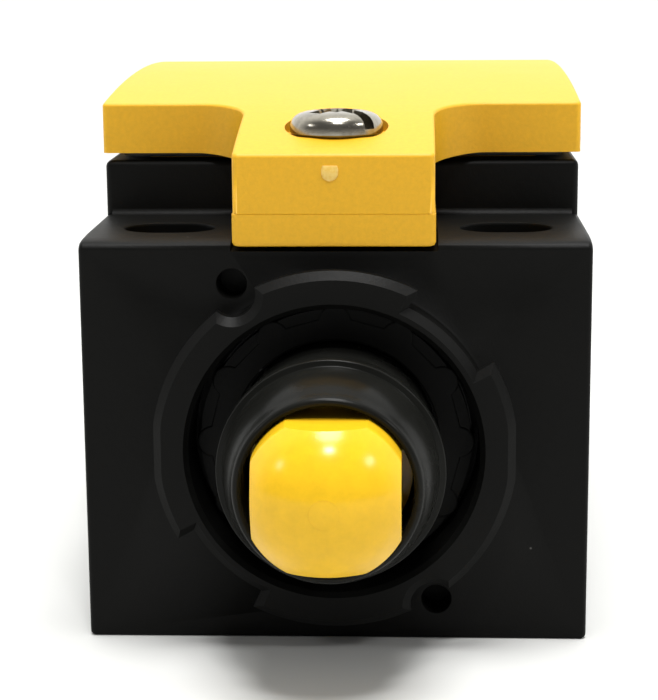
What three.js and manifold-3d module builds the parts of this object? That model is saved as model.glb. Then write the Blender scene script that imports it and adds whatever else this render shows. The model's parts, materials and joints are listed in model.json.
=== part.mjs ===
// Limit switch in an insulated 31 mm housing with a domed plunger.
//
// Frame: millimetres, origin at the middle of the mounting face (the flat underside),
// +Z towards the cover, -Y towards the plunger, +Y towards the cable entry.

import * as THREE from 'three';
import { mergeVertices } from 'three/addons/utils/BufferGeometryUtils.js';
import Module from 'manifold-3d';

const wasm = await Module();
wasm.setup();

// ---------------------------------------------------------------- driving dimensions

const BODY_WIDTH = 31;
const BODY_LENGTH = 61;
const FRONT = -BODY_LENGTH / 2;
const REAR = BODY_LENGTH / 2;
const OVERALL_HEIGHT = 33.5;
const GAP = 0.1;

const EAR_TOP = 25.1;
const EAR_DEPTH = 11.3;
const WALL = 2.4;
const FLOOR = 2.2;
const UPPER_WIDTH = 30.8;
const WALL_TOP = 28.65;
const UPPER_FRONT = FRONT + EAR_DEPTH;
const EAR_ROOF = 22.6;
const CAVITY_FRONT = FRONT + 9.5;
const CAVITY_REAR = REAR - 4.5;
const CAVITY_HALF = BODY_WIDTH / 2 - WALL;
const UPPER_WALL = 2;
const EDGE_CHAMFER = 0.6;

const SLOT_WIDTH = 4.3;
const SLOT_LENGTH = 5.6;
const SLOT_SPACING = 21;
const SLOT_Y = FRONT + 5.4;

const AXIS_Z = 12.5;
const COLLAR_OUT = 2.4;
const COLLAR_FLANGE = 1.2;
const COLLAR_R = 11.05;
const COLLAR_NECK_R = 9.9;
const COLLAR_BORE_R = 8.8;
const RECESS_DEPTH = 2.5;
const RECESS_FLOOR = FRONT + RECESS_DEPTH;
const COLLAR_LOBES = [[63, 115], [130, 210]];
const PILOT_HOLE_R = 0.9;
const PILOT_HOLE_DEPTH = 2.4;
const PILOT_NOTCH_R = 1.35;
const PILOT_CIRCLE_R = 11.7;
const PILOT_ANGLE = 122;

const PASSAGE_R = 6.3;
const STEM_BORE_R = 2.6;
const SHOULDER_Y = FRONT + 6.5;

const ENTRY_R = 9.25;
const ENTRY_FACE_R = 11.6;
const ENTRY_FACE_DEPTH = 0.4;

const CROWN_R = 190;
const CROWN_Y = 1.5;
const COVER_BOTTOM = 29.15;
const COVER_FRONT = UPPER_FRONT - 0.1;
const COVER_SHELL = 2;
const COVER_RIM = 3;
const TONGUE_HALF = 6.1;
const TONGUE_FRONT = FRONT - 0.5;
const TONGUE_BOTTOM = 24.75;
const TONGUE_WALL = 1.7;
const TONGUE_SEAT_Z = 24.4;
const TONGUE_FILLET = 3.7;
const SKIRT_BOTTOM = 27.9;
const SKIRT_WALL = 0.8;
const SKIRT_REAR = REAR - 6.5;
const GASKET_OUTSET = 0.7;
const GASKET_WIDTH = 1.3;
const GASKET_REAR = REAR - 2.8;
const GASKET_BOTTOM = 28.85;
const GASKET_TOP = 29.95;

const HINGE_Y = REAR - 1.1;
const HINGE_Z = 26.8;
const HINGE_LUG_X = 9.65;
const HINGE_LUG_WIDTH = 3.3;
const HINGE_LUG_R = 0.9;
const TRUNNION_R = 0.8;
const TRUNNION_REACH = 1.1;
const HINGE_CLEARANCE = 0.35;

const SCREW_Y = FRONT + 5;
const SCREW_SEAT_Z = 30.95;
const SCREW_SEAT_R = 3.35;
const SCREW_HEAD_R = 3;
const SCREW_HEAD_TOP = 32.7;
const SCREW_THREAD_R = 1.5;
const SCREW_NECK_R = 1.2;
const SCREW_TIP_Z = 22.8;
const SCREW_THREAD_TOP = 27.4;
const BOSS_R = 3;
const BOSS_TOP = 26.2;
const INSERT_TOP = 25.8;
const INSERT_BOTTOM = 20.6;
const INSERT_R = 2.3;
const INSERT_BORE_R = 1.9;

const PLUNGER_TIP = FRONT - 15.5;
const PLUNGER_DOME_EDGE = FRONT - 12.9;
const PLUNGER_R = 4.75;
const PLUNGER_FLATS = 8.3;
const PLUNGER_HEAD_REAR = FRONT - 2.5;
const PLUNGER_FLAT_REAR = FRONT - 6.5;
const STEM_R = 2.2;
const STEM_CLIP_R = STEM_R + 1.2;
const STEM_END = CAVITY_FRONT + 0.9;

const GUIDE_RIM_Y = FRONT - 6.8;
const GUIDE_RIM_R = 6.7;
const GUIDE_TUBE_R = 6.2;
const GUIDE_BORE_R = 4.95;
const GUIDE_NOSE_Y = FRONT - 10.9;
const GUIDE_FLANGE_R = 8.4;
const GUIDE_FLANGE_THICK = 0.9;
const GUIDE_SEAL_R = 6.75;
const GUIDE_SEAL_SECTION = 0.4;
const RING_LOBES = 12;

const BLOCK_FRONT = CAVITY_FRONT + 1.5;
const BLOCK_REAR = 9.2;
const BLOCK_HALF = 10.2;
const BLOCK_BOTTOM = FLOOR + 0.2;
const BLOCK_TOP = 17.2;
const BLOCK_WALL = 1.4;
const POCKET_BOTTOM = 8.4;
const CAP_TOP = 18.3;
const EAR_LENGTH = 4.4;
const EAR_BOTTOM = 5;
const EAR_HEIGHT = 1.8;

const CARRIER_FRONT = STEM_END + 0.15;
const CARRIER_LENGTH = 21;
const CARRIER_HALF = 3;
const CARRIER_BOTTOM = 8.7;
const CARRIER_TOP = 16.5;
const BRIDGE_HALF = 8.6;
const BRIDGE_THICK = 0.8;
const BRIDGE_HEIGHT = 3.6;
const CONTACT_GAP = 2.7;
const NC_BRIDGE_Y = -13.1;
const NO_BRIDGE_Y = -1.4;
const NC_SPRING_LENGTH = 4.1;
const NO_SPRING_LENGTH = 5;
const WINDOW_HALF_HEIGHT = 2.2;

const TERMINAL_INNER = 4.2;
const TERMINAL_OUTER = 8.8;
const TERMINAL_THICK = 0.8;
const TERMINAL_LENGTH = 7.4;
const TERMINAL_BOTTOM = 10.4;
const CLAMP_SIZE = 4.4;
const CLAMP_THICK = 0.9;
const CLAMP_LIFT = 0.5;

// ---------------------------------------------------------------- materials

function finish(color, roughness, metalness = 0) {
    return new THREE.MeshStandardMaterial({ color, roughness, metalness });
}

const blackPlastic = finish(0x1b1b1b, 0.6);
const guidePlastic = finish(0x202020, 0.35);
const yellowPlastic = finish(0xf2b62c, 0.5);
const yellowGloss = finish(0xf4b81e, 0.25);
const innerPlastic = finish(0xd9d4c4, 0.5);
const greenPlastic = finish(0x3c6b52, 0.5);
const rubber = finish(0x2b2b2d, 0.85);
const nickel = finish(0xc9c4ba, 0.25, 1);
const steel = finish(0xa9adb2, 0.35, 1);
const brass = finish(0xc7a252, 0.3, 1);
const silver = finish(0xdedede, 0.25, 1);

// ---------------------------------------------------------------- solid modelling

function toSolid(geometry) {
    const bare = geometry.clone();
    bare.deleteAttribute('normal');
    bare.deleteAttribute('uv');
    const merged = mergeVertices(bare, 1e-4);
    const vertProperties = new Float32Array(merged.attributes.position.array);
    const triVerts = new Uint32Array(merged.index.array);
    if (signedVolume(vertProperties, triVerts) < 0) {
        for (let i = 0; i < triVerts.length; i += 3) {
            [triVerts[i], triVerts[i + 1]] = [triVerts[i + 1], triVerts[i]];
        }
    }
    return new wasm.Manifold(new wasm.Mesh({ numProp: 3, vertProperties, triVerts }));
}

function signedVolume(points, triangles) {
    const [a, b, c] = [new THREE.Vector3(), new THREE.Vector3(), new THREE.Vector3()];
    let volume = 0;
    for (let i = 0; i < triangles.length; i += 3) {
        a.fromArray(points, 3 * triangles[i]);
        b.fromArray(points, 3 * triangles[i + 1]);
        c.fromArray(points, 3 * triangles[i + 2]);
        volume += a.dot(b.cross(c)) / 6;
    }
    return volume;
}

function toGeometry(solid) {
    const mesh = solid.getMesh();
    const geometry = new THREE.BufferGeometry();
    geometry.setAttribute('position', new THREE.BufferAttribute(mesh.vertProperties, 3));
    geometry.setIndex(new THREE.BufferAttribute(mesh.triVerts, 1));
    geometry.computeVertexNormals();
    return geometry;
}

function union(solids) {
    return solids.reduce((sum, solid) => sum.add(solid));
}

function cut(solid, tools) {
    return tools.reduce((rest, tool) => rest.subtract(tool), solid);
}

// Box between two corners.
function block(low, high) {
    const size = high.map((value, axis) => value - low[axis]);
    const geometry = new THREE.BoxGeometry(...size);
    geometry.translate(...low.map((value, axis) => value + size[axis] / 2));
    return toSolid(geometry);
}

// Cylinders along each axis, given by their two ends.
function cylinderZ(radius, x, y, bottom, top, sides = 24) {
    const geometry = new THREE.CylinderGeometry(radius, radius, top - bottom, sides);
    geometry.rotateX(Math.PI / 2);
    geometry.translate(x, y, (bottom + top) / 2);
    return toSolid(geometry);
}

function cylinderY(radius, x, z, front, rear, sides = 24) {
    const geometry = new THREE.CylinderGeometry(radius, radius, rear - front, sides);
    geometry.translate(x, (front + rear) / 2, z);
    return toSolid(geometry);
}

function cylinderX(radius, y, z, left, right, sides = 24) {
    const geometry = new THREE.CylinderGeometry(radius, radius, right - left, sides);
    geometry.rotateZ(Math.PI / 2);
    geometry.translate((left + right) / 2, y, z);
    return toSolid(geometry);
}

// Plan outline raised along Z.
function raised(shape, bottom, top, curveSegments = 6) {
    const depth = top - bottom;
    const geometry = new THREE.ExtrudeGeometry(shape, { depth, curveSegments, bevelEnabled: false });
    geometry.translate(0, 0, bottom);
    return toSolid(geometry);
}

// Outline in X and Z, centred on the plunger axis, that fills front to rear.
function endwise(shape, front, rear, curveSegments = 12) {
    const depth = rear - front;
    const geometry = new THREE.ExtrudeGeometry(shape, { depth, curveSegments, bevelEnabled: false });
    geometry.rotateX(Math.PI / 2);
    geometry.translate(0, rear, AXIS_Z);
    return toSolid(geometry);
}

// Outline in Y and Z that fills left to right.
function sideways(shape, left, right, curveSegments = 12) {
    const depth = right - left;
    const geometry = new THREE.ExtrudeGeometry(shape, { depth, curveSegments, bevelEnabled: false });
    geometry.rotateY(Math.PI / 2);
    geometry.rotateX(Math.PI / 2);
    geometry.translate(left, 0, 0);
    return toSolid(geometry);
}

// Closed profile of [radius, y] points, turned about the plunger axis.
function turned(profile, sides = 32) {
    const points = profile.map(([radius, y]) => new THREE.Vector2(radius, y));
    const geometry = new THREE.LatheGeometry(points, sides);
    geometry.translate(0, 0, AXIS_Z);
    return toSolid(geometry);
}

// Closed profile of [radius, z] points, turned about a vertical axis.
function turnedZ(profile, x, y, sides = 24) {
    const points = profile.map(([radius, z]) => new THREE.Vector2(radius, z));
    const geometry = new THREE.LatheGeometry(points, sides);
    geometry.rotateX(Math.PI / 2);
    geometry.translate(x, y, 0);
    return toSolid(geometry);
}

function rectangle(left, front, right, rear) {
    const shape = new THREE.Shape();
    shape.moveTo(left, front);
    shape.lineTo(right, front);
    shape.lineTo(right, rear);
    shape.lineTo(left, rear);
    shape.closePath();
    return shape;
}

// ---------------------------------------------------------------- housing

const degrees = THREE.MathUtils.degToRad;

function slotTool(x) {
    const straight = (SLOT_LENGTH - SLOT_WIDTH) / 2;
    const shape = new THREE.Shape();
    shape.absarc(x + straight, SLOT_Y, SLOT_WIDTH / 2, -Math.PI / 2, Math.PI / 2);
    shape.absarc(x - straight, SLOT_Y, SLOT_WIDTH / 2, Math.PI / 2, Math.PI * 1.5);
    return raised(shape, -1, EAR_TOP + 1, 6);
}

// Two opposite flanges of each size: the collar is the same after half a turn.
function collarFlange() {
    const shape = new THREE.Shape();
    for (const turn of [0, 180]) {
        for (const [from, to] of COLLAR_LOBES) {
            const previous = from === COLLAR_LOBES[0][0] ? turn + from - 33 : turn + COLLAR_LOBES[0][1];
            shape.absarc(0, 0, COLLAR_NECK_R, degrees(previous), degrees(turn + from));
            shape.absarc(0, 0, COLLAR_R, degrees(turn + from), degrees(turn + to));
        }
    }
    return endwise(shape, FRONT - COLLAR_OUT, FRONT - COLLAR_OUT + COLLAR_FLANGE, 6);
}

function pilotCentre(turn) {
    const angle = degrees(PILOT_ANGLE + turn);
    return [PILOT_CIRCLE_R * Math.cos(angle), AXIS_Z + PILOT_CIRCLE_R * Math.sin(angle)];
}

function buildCollar() {
    const neck = cylinderY(COLLAR_NECK_R, 0, AXIS_Z, FRONT - COLLAR_OUT, FRONT + 0.5, 48);
    const notches = [0, 180].map((turn) => {
        const [x, z] = pilotCentre(turn);
        return cylinderY(PILOT_NOTCH_R, x, z, FRONT - COLLAR_OUT - 1, FRONT, 16);
    });
    return cut(neck.add(collarFlange()), notches);
}

function buildHousing() {
    const half = BODY_WIDTH / 2;
    const upperHalf = UPPER_WIDTH / 2;
    const lower = block([-half, FRONT, 0], [half, REAR, EAR_TOP]);
    const upperSide = new THREE.Shape([
        new THREE.Vector2(UPPER_FRONT, EAR_TOP - 1),
        new THREE.Vector2(REAR, EAR_TOP - 1),
        new THREE.Vector2(REAR, WALL_TOP - EDGE_CHAMFER),
        new THREE.Vector2(REAR - EDGE_CHAMFER, WALL_TOP),
        new THREE.Vector2(UPPER_FRONT, WALL_TOP),
    ]);
    const upper = sideways(upperSide, -upperHalf, upperHalf);
    const boss = cylinderZ(BOSS_R, 0, SCREW_Y, EAR_TOP - 1, BOSS_TOP);
    const postY = BLOCK_REAR + EAR_LENGTH / 2;
    const posts = [-1, 1].map((side) => cylinderZ(2.1, side * 7, postY, FLOOR - 1, EAR_BOTTOM - GAP, 16));

    const cavityTop = WALL_TOP + 1;
    const cavity = block([-CAVITY_HALF, UPPER_FRONT + UPPER_WALL, FLOOR],
        [CAVITY_HALF, CAVITY_REAR, cavityTop]);
    const underEars = block([-CAVITY_HALF, CAVITY_FRONT, FLOOR], [CAVITY_HALF, 0, EAR_ROOF]);
    const tongueSeat = block([-TONGUE_HALF - 0.3, FRONT - 1, TONGUE_SEAT_Z],
        [TONGUE_HALF + 0.3, UPPER_FRONT, EAR_TOP + 1]);
    const bossKeep = cylinderZ(BOSS_R, 0, SCREW_Y, TONGUE_SEAT_Z - 1, EAR_TOP + 2);
    const insertBore = cylinderZ(INSERT_R + 0.05, 0, SCREW_Y, INSERT_BOTTOM - 0.4, BOSS_TOP + 1);

    const recess = cylinderY(COLLAR_BORE_R, 0, AXIS_Z, FRONT - COLLAR_OUT - 1, RECESS_FLOOR, 48);
    const passage = cylinderY(PASSAGE_R, 0, AXIS_Z, RECESS_FLOOR - 1, SHOULDER_Y, 32);
    const sealSeat = cylinderY(GUIDE_SEAL_R + 0.6, 0, AXIS_Z, RECESS_FLOOR - 1, RECESS_FLOOR + 0.9, 32);
    const stemBore = cylinderY(STEM_BORE_R, 0, AXIS_Z, SHOULDER_Y - 1, CAVITY_FRONT + 1);
    const pilots = [0, 180].map((turn) => {
        const [x, z] = pilotCentre(turn);
        return cylinderY(PILOT_HOLE_R, x, z, FRONT - 1, FRONT + PILOT_HOLE_DEPTH, 16);
    });
    const slots = [-1, 1].map((side) => slotTool(side * SLOT_SPACING / 2));
    const entry = cylinderY(ENTRY_R, 0, AXIS_Z, CAVITY_REAR - 1, REAR + 1, 40);
    const entryFace = cylinderY(ENTRY_FACE_R, 0, AXIS_Z, REAR - ENTRY_FACE_DEPTH, REAR + 1, 48);

    const hingePockets = [-1, 1].flatMap((side) => {
        const reach = HINGE_LUG_WIDTH / 2 + HINGE_CLEARANCE;
        const centre = side * HINGE_LUG_X;
        const trunnionReach = HINGE_LUG_WIDTH / 2 + TRUNNION_REACH + 0.3;
        return [
            block([centre - reach, HINGE_Y - HINGE_LUG_R - 0.4, HINGE_Z - HINGE_LUG_R - 0.5],
                [centre + reach, REAR + 1, WALL_TOP + 1]),
            cylinderX(TRUNNION_R + 0.25, HINGE_Y, HINGE_Z, centre - trunnionReach, centre + trunnionReach, 16),
        ];
    });
    const blockScrewHoles = [-1, 1].map((side) => cylinderZ(1.3, side * 7, postY, FLOOR + 0.4, EAR_BOTTOM + 1, 12));

    const shell = union([lower, upper.subtract(cavity)]);
    const seated = cut(shell, [cavity, underEars, tongueSeat.subtract(bossKeep)]);
    const whole = union([seated, boss, buildCollar(), ...posts]);
    return cut(whole, [insertBore, recess, passage, sealSeat, stemBore, entry, entryFace,
        ...pilots, ...slots, ...hingePockets, ...blockScrewHoles]);
}

// ---------------------------------------------------------------- cover

function coverOutline(inset = 0) {
    const half = BODY_WIDTH / 2 + 0.05 - inset;
    const tongue = TONGUE_HALF - inset;
    const front = COVER_FRONT + inset;
    const tongueFront = TONGUE_FRONT + inset;
    const radius = TONGUE_FILLET;
    const shape = new THREE.Shape();
    shape.moveTo(-half, REAR - inset);
    shape.lineTo(-half, front);
    shape.lineTo(-tongue - radius, front);
    shape.absarc(-tongue - radius, front - radius, radius, Math.PI / 2, 0, true);
    shape.lineTo(-tongue, tongueFront);
    shape.lineTo(tongue, tongueFront);
    shape.lineTo(tongue, front - radius);
    shape.absarc(tongue + radius, front - radius, radius, Math.PI, Math.PI / 2, true);
    shape.lineTo(half, front);
    shape.lineTo(half, REAR - inset);
    shape.closePath();
    return shape;
}

// Everything under the crowned top, lowered by the given depth.
function underCrown(depth) {
    const centreZ = OVERALL_HEIGHT - CROWN_R;
    const radius = CROWN_R - depth;
    const reach = Math.asin((BODY_LENGTH * 0.6) / CROWN_R);
    const shape = new THREE.Shape();
    shape.absarc(CROWN_Y, centreZ, radius, Math.PI / 2 + reach, Math.PI / 2 - reach, true);
    shape.lineTo(CROWN_Y + CROWN_R * Math.sin(reach), 0);
    shape.lineTo(CROWN_Y - CROWN_R * Math.sin(reach), 0);
    shape.closePath();
    return sideways(shape, -BODY_WIDTH, BODY_WIDTH, 24);
}

function gasketOutline(inset) {
    const half = CAVITY_HALF + GASKET_OUTSET + GASKET_WIDTH - 0.5 - inset;
    const front = UPPER_FRONT + 0.45 + inset;
    return rectangle(-half, front, half, GASKET_REAR - inset);
}

function gasketLoop(bottom, top, spread) {
    const outer = raised(gasketOutline(-spread), bottom, top);
    const inner = raised(gasketOutline(GASKET_WIDTH + spread), bottom - 1, top + 1);
    return outer.subtract(inner);
}

function buildHingeLug(side) {
    const centre = side * HINGE_LUG_X;
    const left = centre - HINGE_LUG_WIDTH / 2;
    const right = centre + HINGE_LUG_WIDTH / 2;
    return union([
        block([left, HINGE_Y - HINGE_LUG_R, HINGE_Z], [right, HINGE_Y + HINGE_LUG_R, COVER_BOTTOM + 0.5]),
        cylinderX(HINGE_LUG_R, HINGE_Y, HINGE_Z, left, right, 20),
        cylinderX(TRUNNION_R, HINGE_Y, HINGE_Z, left - TRUNNION_REACH, right + TRUNNION_REACH, 16),
    ]);
}

function buildCover() {
    const top = OVERALL_HEIGHT + 1;
    const plate = raised(coverOutline(), COVER_BOTTOM, top);
    const tongue = block([-TONGUE_HALF, TONGUE_FRONT, TONGUE_BOTTOM], [TONGUE_HALF, COVER_FRONT - 0.2, top]);
    const outer = plate.add(tongue).intersect(underCrown(0));

    const rimInner = CAVITY_HALF - 0.3;
    const hollowFront = UPPER_FRONT + UPPER_WALL + 0.5;
    const hollowRear = CAVITY_REAR - 0.4;
    const hollow = raised(rectangle(-rimInner, hollowFront, rimInner, hollowRear), COVER_BOTTOM - 1, top)
        .intersect(underCrown(COVER_SHELL));
    const tongueHollow = block([-TONGUE_HALF + TONGUE_WALL, TONGUE_FRONT + TONGUE_WALL, TONGUE_BOTTOM - 1],
        [TONGUE_HALF - TONGUE_WALL, COVER_FRONT - 1, top]).intersect(underCrown(COVER_SHELL));
    const groove = gasketLoop(GASKET_BOTTOM - 1, GASKET_TOP + 0.1, 0.1);

    const skirtOuter = raised(rectangle(-rimInner, hollowFront, rimInner, SKIRT_REAR),
        SKIRT_BOTTOM, COVER_BOTTOM + 0.5);
    const skirtInner = raised(rectangle(-rimInner + SKIRT_WALL, hollowFront + SKIRT_WALL,
        rimInner - SKIRT_WALL, SKIRT_REAR + 1), SKIRT_BOTTOM - 1, COVER_BOTTOM + 1);
    const skirtRoot = raised(rectangle(-rimInner - 0.5, hollowFront - 0.5, rimInner + 0.5, SKIRT_REAR),
        COVER_BOTTOM, COVER_BOTTOM + 0.5);
    const skirt = union([skirtOuter, skirtRoot]).subtract(skirtInner);

    const screwHole = cylinderZ(SCREW_THREAD_R + 0.25, 0, SCREW_Y, SCREW_SEAT_Z - 4, top);
    const screwSeat = cylinderZ(SCREW_SEAT_R, 0, SCREW_Y, SCREW_SEAT_Z, top, 32);
    const shell = cut(outer, [hollow, tongueHollow, groove, screwHole, screwSeat]);
    return union([shell, skirt, buildHingeLug(-1), buildHingeLug(1)]);
}

function buildGasket() {
    return gasketLoop(GASKET_BOTTOM, GASKET_TOP, 0);
}

function buildCoverScrew() {
    const seat = SCREW_SEAT_Z + 0.05;
    const shoulder = seat + 0.7;
    const profile = [[0, SCREW_TIP_Z], [SCREW_THREAD_R - 0.4, SCREW_TIP_Z], [SCREW_THREAD_R, SCREW_TIP_Z + 0.4],
        [SCREW_THREAD_R, SCREW_THREAD_TOP], [SCREW_NECK_R, SCREW_THREAD_TOP + 0.3], [SCREW_NECK_R, seat],
        [SCREW_HEAD_R, seat], [SCREW_HEAD_R, shoulder], [SCREW_HEAD_R * 0.9, shoulder + 0.45],
        [SCREW_HEAD_R * 0.62, SCREW_HEAD_TOP - 0.15], [0, SCREW_HEAD_TOP]];
    const head = turnedZ(profile, 0, SCREW_Y, 24);
    const arm = 0.45;
    const depth = SCREW_HEAD_TOP - 0.9;
    const slot = block([-SCREW_HEAD_R - 1, SCREW_Y - arm, depth], [SCREW_HEAD_R + 1, SCREW_Y + arm, SCREW_HEAD_TOP + 1]);
    const cross = block([-arm, SCREW_Y - 1.6, depth - 0.3], [arm, SCREW_Y + 1.6, SCREW_HEAD_TOP + 1]);
    return cut(head, [slot, cross]);
}

function buildCoverScrewWasher() {
    const bottom = 28.2;
    return turnedZ([[SCREW_NECK_R + 0.1, bottom], [2.6, bottom], [2.6, bottom + 0.5],
        [SCREW_NECK_R + 0.1, bottom + 0.5], [SCREW_NECK_R + 0.1, bottom]], 0, SCREW_Y, 20);
}

function buildInsert() {
    const waist = INSERT_R - 0.3;
    const middle = (INSERT_TOP + INSERT_BOTTOM) / 2;
    return turnedZ([[INSERT_BORE_R, INSERT_BOTTOM], [INSERT_R, INSERT_BOTTOM], [INSERT_R, middle - 0.5],
        [waist, middle - 0.4], [waist, middle + 0.4], [INSERT_R, middle + 0.5], [INSERT_R, INSERT_TOP],
        [INSERT_BORE_R, INSERT_TOP], [INSERT_BORE_R, INSERT_BOTTOM]], 0, SCREW_Y, 20);
}

// ---------------------------------------------------------------- plunger and guide

function domePoints(edgeRadius, edgeY, tipY, steps) {
    const rise = edgeY - tipY;
    const radius = (edgeRadius * edgeRadius + rise * rise) / (2 * rise);
    const sweep = Math.asin(edgeRadius / radius);
    return Array.from({ length: steps + 1 }, (_, i) => {
        const angle = sweep * i / steps;
        return [radius * Math.sin(angle), tipY + radius * (1 - Math.cos(angle))];
    });
}

function buildPlunger() {
    const grooveFront = PLUNGER_FLAT_REAR + 0.8;
    const grooveRear = grooveFront + 1.6;
    const grooveR = PLUNGER_R - 1.05;
    const dome = domePoints(PLUNGER_R - 0.5, PLUNGER_DOME_EDGE - 0.35, PLUNGER_TIP, 6);
    const profile = [...dome, [PLUNGER_R - 0.12, PLUNGER_DOME_EDGE + 0.05], [PLUNGER_R, PLUNGER_DOME_EDGE + 0.5],
        [PLUNGER_R, grooveFront], [grooveR, grooveFront], [grooveR, grooveRear], [PLUNGER_R, grooveRear],
        [PLUNGER_R, PLUNGER_HEAD_REAR], [STEM_R, PLUNGER_HEAD_REAR], [STEM_R, CAVITY_FRONT],
        [STEM_R - 0.5, CAVITY_FRONT], [STEM_R - 0.5, CAVITY_FRONT + 0.6], [STEM_R, CAVITY_FRONT + 0.6],
        [STEM_R, STEM_END], [0, STEM_END]];
    const half = PLUNGER_FLATS / 2;
    const squared = block([-half, PLUNGER_TIP - 1, AXIS_Z - half], [half, PLUNGER_FLAT_REAR, AXIS_Z + half])
        .add(block([-PLUNGER_R - 1, PLUNGER_FLAT_REAR, AXIS_Z - PLUNGER_R - 1],
            [PLUNGER_R + 1, STEM_END + 1, AXIS_Z + PLUNGER_R + 1]));
    return turned(profile).intersect(squared);
}

function buildPlungerGuide() {
    const flangeFront = RECESS_FLOOR - 0.1 - GUIDE_FLANGE_THICK;
    const flangeRear = RECESS_FLOOR - 0.1;
    const profile = [[GUIDE_BORE_R, flangeRear + 1.6], [GUIDE_TUBE_R - 0.1, flangeRear + 1.6],
        [GUIDE_TUBE_R - 0.1, flangeRear], [GUIDE_FLANGE_R - 1, flangeRear], [GUIDE_FLANGE_R, flangeRear],
        [GUIDE_FLANGE_R, flangeFront], [GUIDE_TUBE_R, flangeFront], [GUIDE_TUBE_R, GUIDE_RIM_Y + 1.2],
        [GUIDE_RIM_R, GUIDE_RIM_Y + 1], [GUIDE_RIM_R, GUIDE_RIM_Y], [GUIDE_RIM_R - 0.35, GUIDE_RIM_Y],
        [GUIDE_RIM_R - 0.45, GUIDE_RIM_Y - 0.35], [6, GUIDE_NOSE_Y + 2.3], [5.72, GUIDE_NOSE_Y + 1.1],
        [5.5, GUIDE_NOSE_Y + 0.3], [5.25, GUIDE_NOSE_Y], [5.08, GUIDE_NOSE_Y + 0.08],
        [GUIDE_BORE_R, GUIDE_NOSE_Y + 0.4], [GUIDE_BORE_R, flangeRear + 1.6]];
    return turned(profile);
}

// Ring of rounded lobes that holds the guide's flange down in the recess.
function buildGuideRing() {
    const front = RECESS_FLOOR - 2.1;
    const rear = RECESS_FLOOR - 0.1 - GUIDE_FLANGE_THICK - 0.1;
    const shape = new THREE.Shape();
    const pitch = 2 * Math.PI / RING_LOBES;
    for (let i = 0; i < RING_LOBES; i += 1) {
        const angle = pitch * i;
        shape.absarc(7.55 * Math.cos(angle), 7.55 * Math.sin(angle), 1, angle - 1.45, angle + 1.45);
    }
    const ring = endwise(shape, front, rear, 4);
    return ring.subtract(cylinderY(GUIDE_TUBE_R + 0.15, 0, AXIS_Z, front - 1, rear + 1, 32));
}

// Ring of round section about the plunger axis.
function sealRing(radius, section, y, sides = 28) {
    const profile = Array.from({ length: 9 }, (_, i) => {
        const angle = 2 * Math.PI * (i % 8) / 8;
        return [radius + section * Math.cos(angle), y + section * Math.sin(angle)];
    });
    return turned(profile, sides);
}

function buildSpringSeat() {
    const rear = SHOULDER_Y - 0.05;
    return turned([[STEM_R + 0.15, rear - 0.6], [PASSAGE_R - 0.15, rear - 0.6], [PASSAGE_R - 0.15, rear],
        [STEM_R + 0.15, rear], [STEM_R + 0.15, rear - 0.6]], 28);
}

function buildStemClip() {
    const front = CAVITY_FRONT + 0.08;
    const ring = turned([[STEM_R - 0.4, front], [STEM_CLIP_R, front], [STEM_CLIP_R, front + 0.44],
        [STEM_R - 0.4, front + 0.44], [STEM_R - 0.4, front]], 24);
    return ring.subtract(block([-1.3, front - 1, AXIS_Z], [1.3, front + 1, AXIS_Z + 6]));
}

// Round-wire compression spring along Y, with its ends inside the given length.
function helix(radius, wire, turns, front, rear) {
    const stepsPerTurn = 10;
    const start = front + wire;
    const length = rear - front - 2 * wire;
    const steps = turns * stepsPerTurn;
    const points = Array.from({ length: steps + 1 }, (_, i) => {
        const angle = 2 * Math.PI * i / stepsPerTurn;
        return new THREE.Vector3(radius * Math.cos(angle), start + length * i / steps,
            AXIS_Z + radius * Math.sin(angle));
    });
    const section = new THREE.Shape();
    section.absarc(0, 0, wire / 2, 0, 2 * Math.PI);
    const extrudePath = new THREE.CatmullRomCurve3(points);
    const geometry = new THREE.ExtrudeGeometry(section, { steps, extrudePath, curveSegments: 3 });
    return toSolid(geometry);
}

// ---------------------------------------------------------------- contact block

function buildBlockBase() {
    const postY = BLOCK_REAR + EAR_LENGTH / 2;
    const outer = block([-BLOCK_HALF, BLOCK_FRONT, BLOCK_BOTTOM], [BLOCK_HALF, BLOCK_REAR, BLOCK_TOP]);
    const ears = block([-BLOCK_HALF, BLOCK_REAR - 1, EAR_BOTTOM],
        [BLOCK_HALF, BLOCK_REAR + EAR_LENGTH, EAR_BOTTOM + EAR_HEIGHT]);
    const pocket = block([-BLOCK_HALF + BLOCK_WALL, BLOCK_FRONT + BLOCK_WALL, POCKET_BOTTOM],
        [BLOCK_HALF - BLOCK_WALL, BLOCK_REAR - 2, BLOCK_TOP + 1]);
    const gate = block([-STEM_CLIP_R - 0.3, BLOCK_FRONT - 1, POCKET_BOTTOM],
        [STEM_CLIP_R + 0.3, BLOCK_FRONT + BLOCK_WALL + 1, BLOCK_TOP + 1]);
    const holes = [-1, 1].map((side) => cylinderZ(1.7, side * 7, postY, EAR_BOTTOM - 1, EAR_BOTTOM + 3, 16));
    return cut(outer.add(ears), [pocket, gate, ...holes]);
}

// Y of the front face of each pole's fixed contact strip.
const NC_TERMINAL_Y = NC_BRIDGE_Y - BRIDGE_THICK / 2 - GAP - TERMINAL_THICK;
const NO_TERMINAL_Y = NO_BRIDGE_Y + BRIDGE_THICK / 2 + CONTACT_GAP + GAP;
const POLES = [
    { pole: 'nc', front: NC_TERMINAL_Y, screwY: NC_TERMINAL_Y + 4.2 },
    { pole: 'no', front: NO_TERMINAL_Y, screwY: NO_TERMINAL_Y + 4.2 },
];
const SIDES = [
    { name: 'left', sign: -1 },
    { name: 'right', sign: 1 },
];
const TERMINAL_X = (TERMINAL_INNER + TERMINAL_OUTER) / 2;
const TERMINAL_TOP = CAP_TOP + GAP + TERMINAL_THICK;

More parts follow.
